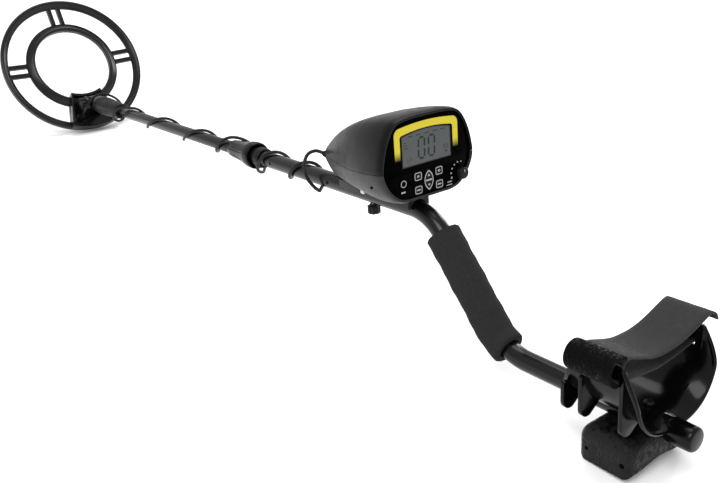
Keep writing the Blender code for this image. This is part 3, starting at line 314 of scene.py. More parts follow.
def soften(thing, width, segments=3, angle=35):
    """Rounds a piece's sharp edges."""
    modifier = thing.modifiers.new("edge", "BEVEL")
    modifier.width = width * MM
    modifier.segments = segments
    modifier.limit_method = "ANGLE"
    modifier.angle_limit = radians(angle)
    modifier.harden_normals = False
    return settle(thing, 40)


def moved(bm, matrix):
    bmesh.ops.transform(bm, matrix=matrix, verts=bm.verts)
    return bm


def bridge(bm, rings):
    """Faces between closed rings of vertices."""
    for near, far in zip(rings, rings[1:]):
        for i in range(len(near)):
            j = (i + 1) % len(near)
            bm.faces.new((near[i], near[j], far[j], far[i]))


def around(count, offset=0.0):
    """Unit vectors evenly round the Y axis."""
    angles = [2 * pi * (i + offset) / count for i in range(count)]
    return [Vector((cos(a), 0, sin(a))) for a in angles]


def box_bm(low, high):
    bm = bmesh.new()
    bmesh.ops.create_cube(bm, size=1.0)
    low, high = Vector(low), Vector(high)
    bmesh.ops.scale(bm, vec=high - low, verts=bm.verts)
    bmesh.ops.translate(bm, vec=(low + high) / 2, verts=bm.verts)
    return bm


def rod_bm(radius, start, end, sides=48):
    start, end = Vector(start), Vector(end)
    axis = end - start
    bm = bmesh.new()
    bmesh.ops.create_cone(bm, cap_ends=True, segments=sides, radius1=radius, radius2=radius, depth=axis.length)
    turn = axis.to_track_quat("Z", "Y").to_matrix().to_4x4()
    return moved(bm, Matrix.Translation((start + end) / 2) @ turn)


def turned_bm(profile, axis="Y", centre=(0, 0, 0), steps=72):
    """A profile of (radius, height) turned about an axis, closed if it starts and ends off the axis."""
    closed = profile[0][0] > 0 and profile[-1][0] > 0
    bm = bmesh.new()
    rings = []
    for radius, height in profile:
        if radius == 0:
            rings.append([bm.verts.new((0, 0, height))])
        else:
            rings.append([bm.verts.new((radius * cos(2 * pi * i / steps),
                                        radius * sin(2 * pi * i / steps), height))
                          for i in range(steps)])
    pairs = list(zip(rings, rings[1:]))
    if closed:
        pairs.append((rings[-1], rings[0]))
    for a, b in pairs:
        for i in range(steps):
            j = (i + 1) % steps
            if len(a) == 1 and len(b) == 1:
                continue
            if len(a) == 1:
                bm.faces.new((a[0], b[j], b[i]))
            elif len(b) == 1:
                bm.faces.new((a[i], a[j], b[0]))
            else:
                bm.faces.new((a[i], a[j], b[j], b[i]))
    turn = {"Y": Matrix.Rotation(-pi / 2, 4, "X"), "X": Matrix.Rotation(pi / 2, 4, "Y"),
            "Z": Matrix.Identity(4)}[axis]
    return moved(bm, Matrix.Translation(centre) @ turn)


def flat_bm(outlines, low, high, plane="XZ"):
    """Outlines (inner ones are holes) given depth along the normal of their plane."""
    curve = bpy.data.curves.new("outline", "CURVE")
    curve.dimensions = "2D"
    curve.fill_mode = "BOTH"
    curve.extrude = abs(high - low) / 2
    for outline in outlines:
        spline = curve.splines.new("POLY")
        spline.points.add(len(outline) - 1)
        for point, (x, y) in zip(spline.points, outline):
            point.co = (x, y, 0, 1)
        spline.use_cyclic_u = True
    thing = bpy.data.objects.new("outline", curve)
    bpy.context.scene.collection.objects.link(thing)
    bpy.context.view_layer.update()
    mesh = bpy.data.meshes.new_from_object(thing.evaluated_get(bpy.context.evaluated_depsgraph_get()))
    bpy.data.objects.remove(thing, do_unlink=True)
    bm = bmesh.new()
    bm.from_mesh(mesh)
    bmesh.ops.remove_doubles(bm, verts=bm.verts, dist=0.001)
    middle = (low + high) / 2
    turn = {"XZ": Matrix.Translation((0, middle, 0)) @ Matrix.Rotation(pi / 2, 4, "X"),
            "YZ": Matrix.Translation((middle, 0, 0)) @ Matrix.Rotation(pi / 2, 4, "Z")
            @ Matrix.Rotation(pi / 2, 4, "X"),
            "XY": Matrix.Translation((0, 0, middle))}[plane]
    return moved(bm, turn)


def arc(centre, radius, start_deg, end_deg, count):
    step = (end_deg - start_deg) / count
    angles = (radians(start_deg + step * i) for i in range(count + 1))
    return [(centre[0] + radius * cos(a), centre[1] + radius * sin(a)) for a in angles]


def circle(centre, radius):
    return arc(centre, radius, 0, 350, 35)


def rounded_rectangle(centre, size, radius, count=6):
    corners = ((1, 1, 0), (-1, 1, 90), (-1, -1, 180), (1, -1, 270))
    points = []
    for sx, sy, start in corners:
        middle = (centre[0] + sx * (size[0] / 2 - radius), centre[1] + sy * (size[1] / 2 - radius))
        points += arc(middle, radius, start, start + 90, count)
    return points


def lens(centre, size, count=14):
    half_w, half_h = size[0] / 2, size[1] / 2
    radius = (half_w ** 2 + half_h ** 2) / (2 * half_w)
    spread = degrees(asin(half_h / radius))
    right = arc((centre[0] + half_w - radius, centre[1]), radius, -spread, spread, count)
    left = arc((centre[0] - half_w + radius, centre[1]), radius, 180 - spread, 180 + spread, count)
    return right[:-1] + left[:-1]


def smooth_path(points, per_span):
    """A Catmull-Rom curve through the points."""
    knots = [Vector(p) for p in points]
    knots = [2 * knots[0] - knots[1]] + knots + [2 * knots[-1] - knots[-2]]
    path = []
    for a, b, c, d in zip(knots, knots[1:], knots[2:], knots[3:]):
        for i in range(per_span):
            t = i / per_span
            path.append(0.5 * (2 * b + (c - a) * t + (2 * a - 5 * b + 4 * c - d) * t ** 2
                               + (3 * b - a - 3 * c + d) * t ** 3))
    path.append(knots[-2])
    return path


def sweep_bm(path, section, caps=True, across=None):
    """A section carried along a path; section(i, share) gives its points as (across, out) in millimetres.

    The section's width keeps square to the path, or always lies along the direction given as across.
    """
    path = [Vector(p) for p in path]
    bm = bmesh.new()
    rings = []
    side = across or Vector((1, 0, 0))
    for i, place in enumerate(path):
        ahead = (path[min(i + 1, len(path) - 1)] - path[max(i - 1, 0)]).normalized()
        side = across or (side - ahead * side.dot(ahead)).normalized()
        out = ahead.cross(side).normalized()
        points = section(i, i / (len(path) - 1))
        rings.append([bm.verts.new(place + side * a + out * b) for a, b in points])
    bridge(bm, rings)
    if caps:
        bm.faces.new(rings[0][::-1])
        bm.faces.new(rings[-1])
    return bm


def tube_bm(path, radius, sides=24, caps=True):
    """A round tube along a path; radius may be a function of the share of the way along."""
    def section(_, share):
        r = radius(share) if callable(radius) else radius
        return [(r * cos(2 * pi * k / sides), r * sin(2 * pi * k / sides))
                for k in range(sides)]
    return sweep_bm(path, section, caps)


# Tubes and twist lock

BEND_R = 58.0
BEND_DEG = 49.7
BEND_Y = -249.4
TUBE_FRONT_Y = 60.0
TUBE_REAR_Y = -557.0
TUBE_R = 9.5
STEM_R = 8.3


def tube_line():
    """The upper tube's axis: straight stem, down bend, slope, level bend, arm section."""
    bend = radians(BEND_DEG)
    drop = BEND_R * (1 - cos(bend))
    upper = arc((BEND_Y, -BEND_R), BEND_R, 90, 90 + BEND_DEG, 24)
    lower_y = upper[-1][0] - (-ARM_Z - 2 * drop) / tan(bend)
    centre = (lower_y - BEND_R * sin(bend), ARM_Z + BEND_R)
    lower = arc(centre, BEND_R, BEND_DEG - 90, -90, 24)
    return [(0.0, y, z) for y, z in [(TUBE_FRONT_Y, 0.0)] + upper + lower + [(TUBE_REAR_Y, ARM_Z)]]


def even_path(points, spacing):
    """The same line with its points at an even spacing."""
    points = [Vector(p) for p in points]
    lengths = [(b - a).length for a, b in zip(points, points[1:])]
    count = max(2, round(sum(lengths) / spacing))
    places = []
    for k in range(count + 1):
        left = sum(lengths) * k / count
        for a, b, length in zip(points, points[1:], lengths):
            if left <= length or b is points[-1]:
                places.append(a.lerp(b, min(1.0, left / length)))
                break
            left -= length
    return places


def grip_radius(share):
    """The foam's radius along the grip: slightly wavy, and rounded at both ends."""
    end = min(share, 1 - share) * 140.0
    waves = 0.25 * sin(share * 19.0) + 0.2 * sin(share * 47.0 + 1)
    return 16.9 + waves - 1.3 * max(0.0, 1 - end / 1.8) ** 2


def make_tubes():
    line = tube_line()
    upper = add("upper_tube_skin", tube_bm(line, TUBE_R, 64, caps=False), TUBE,
                replaces=["upper_tube"])
    hollow(upper, 0.9)
    holes = [rod_bm(radius, (-15, y, 0), (-5, y, 0), 24) for y, radius in ((8.0, 1.9), (BUTTON_Y, 2.3))]
    carve(upper, holes + [rod_bm(3.0, (0, CLAMP_Y, -15), (0, CLAMP_Y, 15), 24)])
    button = [(0.0, -2.0), (1.2, -1.8), (1.9, -1.0), (2.0, 0.0), (2.0, 0.7), (0.0, 0.7)]
    add("spring_button", turned_bm(button, "X", (-9.3, BUTTON_Y, 0), 20), MOULDED)

    grip_line = [p for p in even_path(line, 1.5) if GRIP_Y[0] <= p.y <= GRIP_Y[1]]
    grip = add("foam_sleeve", tube_bm(grip_line, grip_radius, 96), FOAM, replaces=["foam_grip"],
               sharp=60)
    sockets = []
    for end, inside in ((0, 1), (-1, -2)):
        out = (grip_line[end] - grip_line[inside]).normalized()
        sockets.append(rod_bm(10.6, grip_line[end] - out * 3.0, grip_line[end] + out * 6.0))
    carve(grip, sockets)

    cap = [(0, -10.0), (7.6, -10.0), (9.0, -9.6), (9.9, -8.6), (10.3, -7.0), (10.4, -5.0), (10.4, 11.2),
           (10.1, 12.0), (9.6, 12.0), (9.6, -2.0), (0, -2.0)]
    add("end_cap_skin", turned_bm(cap, "Y", (0, TUBE_REAR_Y, ARM_Z), 64), GLOSSY,
        replaces=["end_cap"], sharp=50)
    stem = [(STEM_R - 0.3, 545.0), (STEM_R, 544.0), (STEM_R, -59.0), (STEM_R - 0.5, -60.0), (7.2, -60.0),
            (7.2, 545.0)]
    add("lower_tube_skin", turned_bm(stem, "Y", steps=64), TUBE, body="stem",
        replaces=["lower_tube"])


def make_twist_lock():
    bell = [(8.9, 114.0), (9.8, 114.0), (10.6, 113.4), (11.2, 111.5), (12.0, 104.0), (12.6, 96.0),
            (13.1, 89.0), (13.9, 82.0), (14.8, 75.0), (15.6, 70.4), (16.4, 67.0), (16.9, 63.5), (17.0, 60.0),
            (17.0, 55.0), (16.7, 53.2), (16.0, 52.3), (14.8, 52.2), (14.4, 53.0), (14.2, 60.0), (12.6, 66.0),
            (11.2, 70.0), (10.6, 94.0), (8.9, 104.0)]
    collar = add("lock_collar_skin", turned_bm(bell, "Y", steps=128), GLOSSY, body="lock_collar_body",
                 replaces=["lock_collar"])
    groove = ((113.0, 13.4), (104.0, 12.9), (89.0, 13.8), (75.0, 15.6), (66.0, 18.6))
    cutters = []
    for out in around(10, 0.5):
        flute = [Vector((0, y, 0)) + out * radius for y, radius in groove]
        cutters.append(tube_bm(smooth_path(flute, 4), 1.8, 12))
    for out in around(20):
        cutters.append(rod_bm(0.8, Vector((0, 64.0, 0)) + out * 17.5, Vector((0, 49.0, 0)) + out * 17.3, 8))
    carve(collar, cutters)
    sleeve = [(9.75, 34.0), (11.4, 34.0), (12.0, 34.6), (12.6, 36.2), (12.6, 46.6), (10.4, 52.0),
              (10.2, 66.0), (9.75, 66.0)]
    add("lock_sleeve_skin", turned_bm(sleeve, "Y", steps=64), MOULDED, replaces=["lock_sleeve"])


# Control box

BOX_KNOTS = ((0.44, 0.0), (0.60, 0.02), (0.73, 0.07), (0.87, 0.17), (0.97, 0.30), (1.0, 0.406), (0.985, 0.50),
             (0.955, 0.60), (0.905, 0.71), (0.84, 0.81), (0.755, 0.90), (0.66, 0.955), (0.50, 0.985),
             (0.26, 0.998))
SEAM_FRACTION = 0.406


def box_outline():
    """The half outline, smoothed between its knots, from bottom to top."""
    return [(p.x, p.y) for p in smooth_path([(x, z, 0) for x, z in BOX_KNOTS], 4)]


BOX_OUTLINE = box_outline()


def box_section(share, inset=0.0):
    """The box's outline as (x, z); share runs from 0 at the nose to 1 at the face."""
    width = 5.3 + 52.2 * (1 - (1 - share) ** 1.7) ** 1.15
    top = 37.0 + 62.0 * (1 - (1 - share) ** 1.75) ** 0.9
    nose_rise = 11.0 * (1 - min(share / 0.16, 1.0)) ** 2
    face_rise = 4.5 * max(0.0, (share - 0.75) / 0.25) ** 2
    bottom = 12.0 + nose_rise + face_rise
    right = [((width - inset) * x, bottom + inset + (top - bottom - 2 * inset) * z) for x, z in BOX_OUTLINE]
    return right + [(-x, z) for x, z in reversed(right)]


def box_bm_loft():
    """The box's skin with a softened nose and a rolled lip round the face; open at the face."""
    count = 40
    shares = [(i / count) ** 1.35 for i in range(count + 1)]
    bm = bmesh.new()
    rings = []
    for share in shares:
        y = NOSE_Y + (FACE_Y - NOSE_Y) * share
        inset = 1.4 * (1 - min(1.0, share / 0.006)) + 1.2 * max(0.0, (share - 0.985) / 0.015) ** 2
        rings.append([bm.verts.new((x, y, z)) for x, z in box_section(share, inset)])
    bridge(bm, rings)
    bm.faces.new(rings[0][::-1])
    return bm


def seam_plane():
    """The seam's height at the nose and at the face."""
    heights = []
    for share in (0.0, 1.0):
        low, high = box_section(share)[0][1], box_section(share)[len(BOX_OUTLINE) - 1][1]
        heights.append(low + SEAM_FRACTION * (high - low))
    return heights


def seam_block(upper):
    nose_z, face_z = seam_plane()
    slope = atan2(face_z - nose_z, NOSE_Y - FACE_Y)
    bm = box_bm((-80, -120, 0.25 if upper else -120.25), (80, 120, 120.25 if upper else -0.25))
    middle = Matrix.Translation((0, (NOSE_Y + FACE_Y) / 2, (nose_z + face_z) / 2))
    return moved(bm, middle @ Matrix.Rotation(-slope, 4, "X"))


def make_box():
    halves = (("box_cover", BOX_BLACK, True, "box_upper_shell", "box_top"),
              ("box_base", BOX_GREY, False, "box_lower_shell", "box_bottom"))
    for name, material, upper, part, slot in halves:
        shell = add(name, box_bm_loft(), material, replaces=[part], sharp=40)
        hollow(shell, 2.4, even=True)
        carve(shell, [rod_bm(3.6, (0, -100, PORT_Z), (0, -125, PORT_Z), 32)])
        carve(shell, [seam_block(upper)], "INTERSECT")
        if not upper:
            slit = moved(box_bm((-70, -4.0, -1.2), (-30, 4.0, 1.2)),
                         Matrix.Translation((0, -252.0, 33.0)) @ Matrix.Rotation(radians(-28), 4, "X"))
            carve(shell, [slit, rod_bm(3.0, (0, CLAMP_Y, 0), (0, CLAMP_Y, 30), 24)])
        soften(shell, 0.35, 2, 50)
    saddle = add("box_saddle_skin", box_bm((-13.3, -257.5, 2.2), (13.3, -142.5, 11.2)), BOX_GREY,
                 replaces=["box_saddle"])
    carve(saddle, [rod_bm(9.85, (0, -130, 0), (0, -270, 0), 64),
                   rod_bm(3.0, (0, CLAMP_Y, 0), (0, CLAMP_Y, 20), 24)])
    soften(saddle, 0.8)
    bushing = [(2.2, 9.5), (3.0, 9.5), (3.6, 7.5), (3.3, 6.8), (4.0, 5.0), (3.7, 4.2), (4.5, 2.4), (5.0, 0.9),
               (3.3, 0.7), (3.3, -6.0), (2.2, -6.0)]
    add("cable_bushing_skin", turned_bm(bushing, "Y", (0, NOSE_Y, PORT_Z), 32), RUBBER,
        replaces=["cable_bushing"])


# Panel, display, controls

def display_outline(inset):
    """The display's opening: straight sides and foot, gently arched top."""
    half, foot, shoulder, rise = 30.3 + inset, 50.0 - inset, 80.0 + inset, 3.6
    radius = (half ** 2 + rise ** 2) / (2 * rise)
    spread = degrees(asin(half / radius))
    top = arc((0, shoulder + rise - radius), radius, 90 - spread, 90 + spread, 24)
    return [(-half, foot), (half, foot)] + top


def arch_line(half, crown, rise, corner):
    """Up the right side, round the corner, along an arched top and down the left side."""
    radius = (half ** 2 + rise ** 2) / (2 * rise)
    spread = degrees(asin((half - corner) / radius))
    top = arc((0, crown - radius), radius, 90 - spread, 90 + spread, 24)
    shoulder = top[0][1]
    right = arc((half - corner, shoulder - corner), corner, 0, 84, 10)
    left = [(-x, z) for x, z in reversed(right)]
    return [(half, TRIM_FOOT)] + right + top[1:-1] + left + [(-half, TRIM_FOOT)]


def printed(name, outlines, material, height=0.12, base=PANEL_Y, body="frame", depth=0.3):
    """A flat mark that stands a hair proud of the panel."""
    return add(name, flat_bm(outlines, base - height, base + depth), material, body=body)


def on_display(name, outlines, lift=0.33):
    printed(name, outlines, SEGMENT, 0.02, PANEL_Y + lift, depth=0.1)


def on_key(name, outlines, base, body):
    printed(name, outlines, PRINT, 0.06, PANEL_Y - base, body, 0.1)


def framed(centre, size, radius, line):
    """A rounded rectangle drawn as a line."""
    inner = (size[0] - 2 * line, size[1] - 2 * line)
    return [rounded_rectangle(centre, size, radius),
            rounded_rectangle(centre, inner, max(0.2, radius - line))[::-1]]


def bar(x0, z0, x1, z1, width):
    """A stroke between two points, as an outline."""
    a, b = Vector((x0, z0)), Vector((x1, z1))
    side = (b - a).normalized()
    side = Vector((-side.y, side.x)) * width / 2
    return [tuple(a + side), tuple(a - side), tuple(b - side), tuple(b + side)]


def seven_segments(centre, size, width, lit, slant=0.0):
    """The lit bars of a seven-segment figure, as outlines."""
    cx, cz = centre
    w, h = size[0] / 2, size[1] / 2
    gap = width * 0.62
    bars = {"a": (-w + gap, h, w - gap, h), "b": (w, h - gap, w, gap), "c": (w, -gap, w, -h + gap),
            "d": (-w + gap, -h, w - gap, -h), "e": (-w, -gap, -w, -h + gap), "f": (-w, h - gap, -w, gap),
            "g": (-w + gap, 0, w - gap, 0)}
    outlines = []
    for key in lit:
        x0, z0, x1, z1 = bars[key]
        outlines.append(bar(cx + x0 + slant * z0, cz + z0, cx + x1 + slant * z1, cz + z1, width))
    return outlines


KEY_CENTRES = ((-13.0, 39.3), (13.0, 39.3), (-13.0, 26.0), (13.0, 26.0))
KNOB = (39.5, 31.5)
SOCKET = (-31.0, 36.0)


def make_panel():
    outline = [(x * 0.945, 57.5 + (z - 57.5) * 0.93) for x, z in box_section(1.0)]
    holes = [display_outline(0.2)]
    holes += [rounded_rectangle(c, (10.8, 9.8), 2.4) for c in KEY_CENTRES]
    holes.append(lens((0, 33), (13.2, 23.5)))
    holes += [circle(KNOB, 3.4), circle(SOCKET, 3.3)]
    panel = add("panel_plate", flat_bm([outline] + holes, PANEL_Y, PANEL_Y + 2.4), PANEL_BLACK,
                replaces=["face_panel"])
    soften(panel, 0.3, 2)
    add("display_plate", flat_bm([display_outline(0.0)], PANEL_Y + 0.35, PANEL_Y + 1.8), GLASS_GREY,
        replaces=["display_window"])
    on_display("display_border", [display_outline(0.0), display_outline(-1.0)[::-1]], 0.3)
    digits = []
    for cx in (-6.2, 6.1):
        digits += seven_segments((cx, 65.5), (7.4, 19.6), 2.0, "abcdef", 0.04)
    on_display("display_figures", digits)
    small = []
    for cx, lit in ((-24.5, "bc"), (-20.5, "abg")):
        small += seven_segments((cx, 56.0), (2.4, 5.0), 0.7, lit)
    small += [bar(x, 78.5, x + 5.5, 78.5, 0.8) for x in (-22, -12, -2, 8, 18)]
    small += framed((24.0, 61.0), (6.0, 3.4), 0.6, 0.6)
    small.append(bar(22.2, 56.2, 25.8, 56.2, 0.8))
    small.append(bar(24.0, 57.8, 24.0, 54.6, 0.8))
    small += [bar(-27.5, 73.5 - 2.6 * i, -24.5 + 0.9 * i, 73.5 - 2.6 * i, 0.8) for i in range(3)]
    on_display("display_icons", small)
    band = arch_line(38.8, 90.8, 3.4, 7.0) + arch_line(32.4, 84.2, 3.4, 3.0)[::-1]
    add("trim_print", flat_bm([band], PANEL_Y - 0.35, PANEL_Y - 0.02), TRIM,
        replaces=["trim_band"])
    make_keys()
    make_marks()


def make_keys():
    minus = [bar(-2.4, 0, 2.4, 0, 1.2)]
    plus = [bar(-1.5, 0, 1.5, 0, 1.3), bar(0, -1.3, 0, 1.3, 1.3)]
    glyphs = (framed((0, 0), (2.6, 2.0), 0.5, 0.7), plus, minus, minus)
    for i, (centre, glyph) in enumerate(zip(KEY_CENTRES, glyphs), 1):
        body = f"key_{i}_body"
        outline = rounded_rectangle(centre, (10.0, 9.0), 2.2, 8)
        key = add(f"key_cap_{i}", flat_bm([outline], PANEL_Y - 0.9, PANEL_Y + 2.2), RUBBER,
                  body=body, replaces=[f"key_{i}"])
        soften(key, 0.5, 3)
        on_key(f"key_line_{i}", framed(centre, (8.6, 7.6), 1.7, 0.75), 0.9, body)
        mark = [[(x + centre[0], z + centre[1]) for x, z in part] for part in glyph]
        on_key(f"key_mark_{i}", mark, 0.9, body)
    pad = add("rocker_cap", flat_bm([lens((0, 33), (12.0, 21.5))], PANEL_Y - 1.0, PANEL_Y + 1.6), RUBBER,
              body="rocker_pad_body", replaces=["rocker_pad"])
    soften(pad, 0.5, 3)
    line = [lens((0, 33), (11.0, 19.6)), lens((0, 33), (9.3, 17.0))[::-1]]
    marks = [bar(-3.8, 33, 3.8, 33, 1.5), [(0, 39.2), (-1.5, 36.8), (1.5, 36.8)],
             [(0, 26.8), (1.5, 29.2), (-1.5, 29.2)]]
    on_key("rocker_line", line, 1.0, "rocker_pad_body")
    on_key("rocker_marks", marks, 1.0, "rocker_pad_body")


def make_marks():
    """Dial dots round the knob, blank bars in place of words, and the socket's ring."""
    x, z = KNOB
    dots = []
    for k in range(6):
        angle = radians(75 + 25 * k)
        dots.append(arc((x + 10.5 * cos(angle), z + 10.5 * sin(angle)), 0.7 + 0.06 * k, 0, 330, 11))
    printed("dial_dots", dots, PRINT)
    printed("blank_bars", [bar(24.0, 24.6, 29.5, 24.6, 1.0), bar(22.5, 21.6, 30.0, 21.6, 0.9),
                           bar(-33.5, 27.6, -28.5, 27.6, 1.5)], PRINT)
    socket = [(0, 7.0), (1.9, 7.0), (1.9, -0.9), (2.1, -1.2), (3.6, -1.2), (3.9, -0.9), (4.0, -0.3),
              (2.95, -0.3), (2.95, 2.75), (5.0, 2.75), (5.0, 8.2), (0, 8.2)]
    place = (SOCKET[0], PANEL_Y, SOCKET[1])
    add("socket_skin", turned_bm(socket, "Y", place, 40), RUBBER,
        replaces=["headphone_socket"])
    printed("socket_ring", [circle(SOCKET, 3.4), circle(SOCKET, 2.7)[::-1]], PRINT, 0.06,
            PANEL_Y - 1.2, depth=0.1)
    profile = [(0, -8.2), (4.4, -8.2), (5.2, -7.9), (5.7, -7.3), (6.0, -6.4), (6.2, -4.0), (6.2, -3.2),
               (6.0, -2.9), (2.8, -2.9), (2.8, 6.0), (0, 6.0)]
    knob = add("volume_knob_skin", turned_bm(profile, "Y", (x, PANEL_Y, z), 96), MOULDED,
               body="volume_knob_body", replaces=["volume_knob"])
    foot = Vector((x, PANEL_Y, z))
    low, high = Vector((0, -3.6, 0)), Vector((0, -9.0, 0))
    carve(knob, [rod_bm(0.4, foot + out * 6.35 + low, foot + out * 5.8 + high, 6) for out in around(22)])
    printed("knob_pointer", [bar(x, z + 1.2, x, z + 4.2, 0.8)], PRINT, 0.05, PANEL_Y - 8.2,
            "volume_knob_body", 0.1)


def lobed(centre, lobes, waist, tip, count=12):
    """A hand knob's outline."""
    points = []
    for i in range(lobes * count):
        angle = 2 * pi * i / (lobes * count)
        radius = waist + (tip - waist) * (0.5 + 0.5 * cos(lobes * angle)) ** 0.7
        points.append((centre[0] + radius * cos(angle), centre[1] + radius * sin(angle)))
    return points


def make_thumb_screw():
    head = add("thumb_screw_skin", flat_bm([lobed((0, CLAMP_Y), 8, 5.9, 6.9)], -20.6, -12.4, "XY"), MOULDED,
               body="thumb_screw_body", replaces=["thumb_screw"])
    soften(head, 0.8)
    for name, radius, top, sides, material, slot in (("neck", 4.2, -10.4, 32, MOULDED, "moulding"),
                                                     ("stud", 2.5, 20.5, 24, STEEL, "steel")):
        rod = rod_bm(radius, (0, CLAMP_Y, -12.5), (0, CLAMP_Y, top), sides)
        add(f"thumb_screw_{name}", rod, material, body="thumb_screw_body")


# Arm cradle, stand, strap

CRADLE_HALF = 45.0
CRADLE_CENTRE_Z = -50.0
CRADLE_DEPTH = 49.4
CRADLE_TOP = -45.0
CRADLE_WALL = 2.6


def cradle_line(half, depth, top, steps=40):
    """The cradle's section, from the left wall's top round to the right wall's top."""
    power = 2.0 / 2.6
    points = [(-half, top)]
    for i in range(steps + 1):
        angle = pi * i / steps
        x = -half * copysign(abs(cos(angle)) ** power, cos(angle))
        z = CRADLE_CENTRE_Z - depth * abs(sin(angle)) ** power
        points.append((x, min(z, top)))
    points.append((half, top))
    return points


def cradle_front(z):
    """Where the front edge lies: the side walls lean back towards their top."""
    return -473.0 - 0.455 * max(0.0, z + 86.8)


def cradle_rear(z):
    """Where the rear edge lies: straight across the floor, curving forward up the side walls."""
    share = min(1.0, max(0.0, (z + 76.0) / 31.0))
    return -549.0 + 14.0 * share ** 1.5


def cradle_skin_lines(grow, count=44):
    """Lines across the cradle from front edge to rear edge; the last third flares out to the rear lip."""
    lines = []
    base = cradle_line(CRADLE_HALF + grow, CRADLE_DEPTH + grow, CRADLE_TOP)
    for k in range(count + 1):
        share = k / count
        line = []
        for i, (_, z) in enumerate(base):
            y = cradle_front(z) + (cradle_rear(z) - cradle_front(z)) * share
            rear = max(0.0, 1.0 - (y - cradle_rear(z)) / 23.0)
            flared = cradle_line(CRADLE_HALF + grow + 3.4 * rear ** 2.2,
                                 CRADLE_DEPTH + grow + 7.5 * rear ** 1.8, CRADLE_TOP)
            line.append((flared[i][0], y, flared[i][1]))
        lines.append(line)
    return lines


def cradle_bm():
    """The cradle's wall, between an inner and an outer skin."""
    bm = bmesh.new()
    inner, outer = [[[bm.verts.new(p) for p in line] for line in cradle_skin_lines(grow)]
                    for grow in (0.0, CRADLE_WALL)]
    for skin in (inner, outer):
        for near, far in zip(skin, skin[1:]):
            for i in range(len(near) - 1):
                bm.faces.new((near[i], near[i + 1], far[i + 1], far[i]))
    for i in range(len(inner[0]) - 1):
        for end in (0, -1):
            bm.faces.new((inner[end][i], inner[end][i + 1], outer[end][i + 1], outer[end][i]))
    for k in range(len(inner) - 1):
        for side in (0, -1):
            bm.faces.new((inner[k][side], inner[k + 1][side], outer[k + 1][side], outer[k][side]))
    return bm


def cradle_fins():
    """Three ribs down the outside of each wall."""
    half = CRADLE_HALF + CRADLE_WALL / 2
    section = cradle_line(half, CRADLE_DEPTH + CRADLE_WALL / 2, CRADLE_TOP)
    fins = []
    for y, top in ((-481.0, -78.0), (-498.0, -66.0), (-535.0, -49.0)):
        wall = [(x, z) for x, z in section if x > 26 and z < top - 1]
        edge = [(half, top)] + arc((CRADLE_HALF + 3.5, top - 2.0), 2.0, 90, 0, 5)
        foot = arc((CRADLE_HALF - 2.5, -95.5), 8.0, 0, -110, 10)
        for sign in (-1, 1):
            outline = [(sign * x, z) for x, z in edge + foot + wall]
            fins.append(flat_bm([outline], y - 1.7, y + 1.7))
    return fins


def make_cradle():
    cradle = add("cradle_skin", cradle_bm(), GLOSSY, replaces=["arm_cradle"], sharp=50)
    edge = cradle_line(CRADLE_HALF + 5.0, CRADLE_DEPTH + 9.0, CRADLE_TOP - 1.6, 60)
    lip = [Vector((x, cradle_rear(z) + 0.9, z)) for x, z in edge]
    carve(cradle, cradle_fins() + [tube_bm(lip, 1.8, 12)], "UNION")
    cutters = [rod_bm(10.9, (0, -460, ARM_Z), (0, -560, ARM_Z), 64)]
    cutters += [box_bm((x - 12, -531.5, -62.5), (x + 12, -500.0, -57.0)) for x in (-48, 48)]
    cutters += [rod_bm(2.4, (0, y, -110), (0, y, -90), 20) for y in SCREW_YS]
    carve(cradle, cutters)
    soften(cradle, 0.5, 2, 45)
    profile = [(0, -97.6), (1.2, -97.6), (1.2, -96.6), (2.6, -96.7), (3.7, -97.3), (4.2, -98.2), (4.2, -99.0),
               (2.0, -99.0), (2.0, -131.5), (0, -131.5)]
    for name, y in zip(("front", "rear"), SCREW_YS):
        add(f"cradle_screw_skin_{name}", turned_bm(profile, "Z", (0, y, 0), 32), MOULDED,
            replaces=[f"cradle_screw_{name}"])


def stand_bm(middle, size, sole, top, shoulder):
    """The stand's outside, solid: upright sides that round over to the top on a wide shoulder."""
    bm = bmesh.new()
    rings = []
    heights = [sole] + [top - shoulder + shoulder * sin(radians(9 * k)) for k in range(11)]
    for z in heights:
        rise = max(0.0, z - top + shoulder)
        inset = shoulder - sqrt(max(0.0, shoulder ** 2 - rise ** 2))
        inner = (size[0] - 2 * inset, size[1] - 2 * inset)
        outline = rounded_rectangle(middle, inner, 7.5 - 0.25 * inset, 10)
        rings.append([bm.verts.new((x, y, z)) for x, y in outline])
    bridge(bm, rings)
    bm.faces.new(rings[0][::-1])
    bm.faces.new(rings[-1])
    return bm


def make_stand():
    middle, size = (0.0, -510.5), (72.0, 51.0)
    top, sole = -118.0, -150.0
    stand = add("stand_skin", stand_bm(middle, size, sole, top, 13.0), STAND_BLACK,
                replaces=["ground_stand"])
    side_view = rounded_rectangle((middle[1], -130.0), (size[1] + 0.4, 40.0), 9.0, 10)
    carve(stand, [flat_bm([side_view], -50.0, 50.0, "YZ")], "INTERSECT")
    arch = [(-24.0, -160.0), (24.0, -160.0)] + arc((0, -203.6), 62.0, 67, 113, 20)
    cutters = [flat_bm([rounded_rectangle(middle, (62.0, 41.0), 4.0)], sole - 5, top - 9.5, "XY"),
               rod_bm(9.85, (0, -460, ARM_Z), (0, -560, ARM_Z), 64)]
    cutters += [flat_bm([arch], y - 12, y + 12) for y in (-485.0, -536.0)]
    cutters += [rod_bm(2.4, (0, y, -135), (0, y, -110), 20) for y in SCREW_YS]
    cutters += [rod_bm(radius, (-50, y, -138.5), (50, y, -138.5), 24)
                for y, radius in ((-494.0, 1.8), (-527.6, 2.4))]
    for cutter in cutters:
        carve(stand, [cutter])
    soften(stand, 0.5, 2, 50)


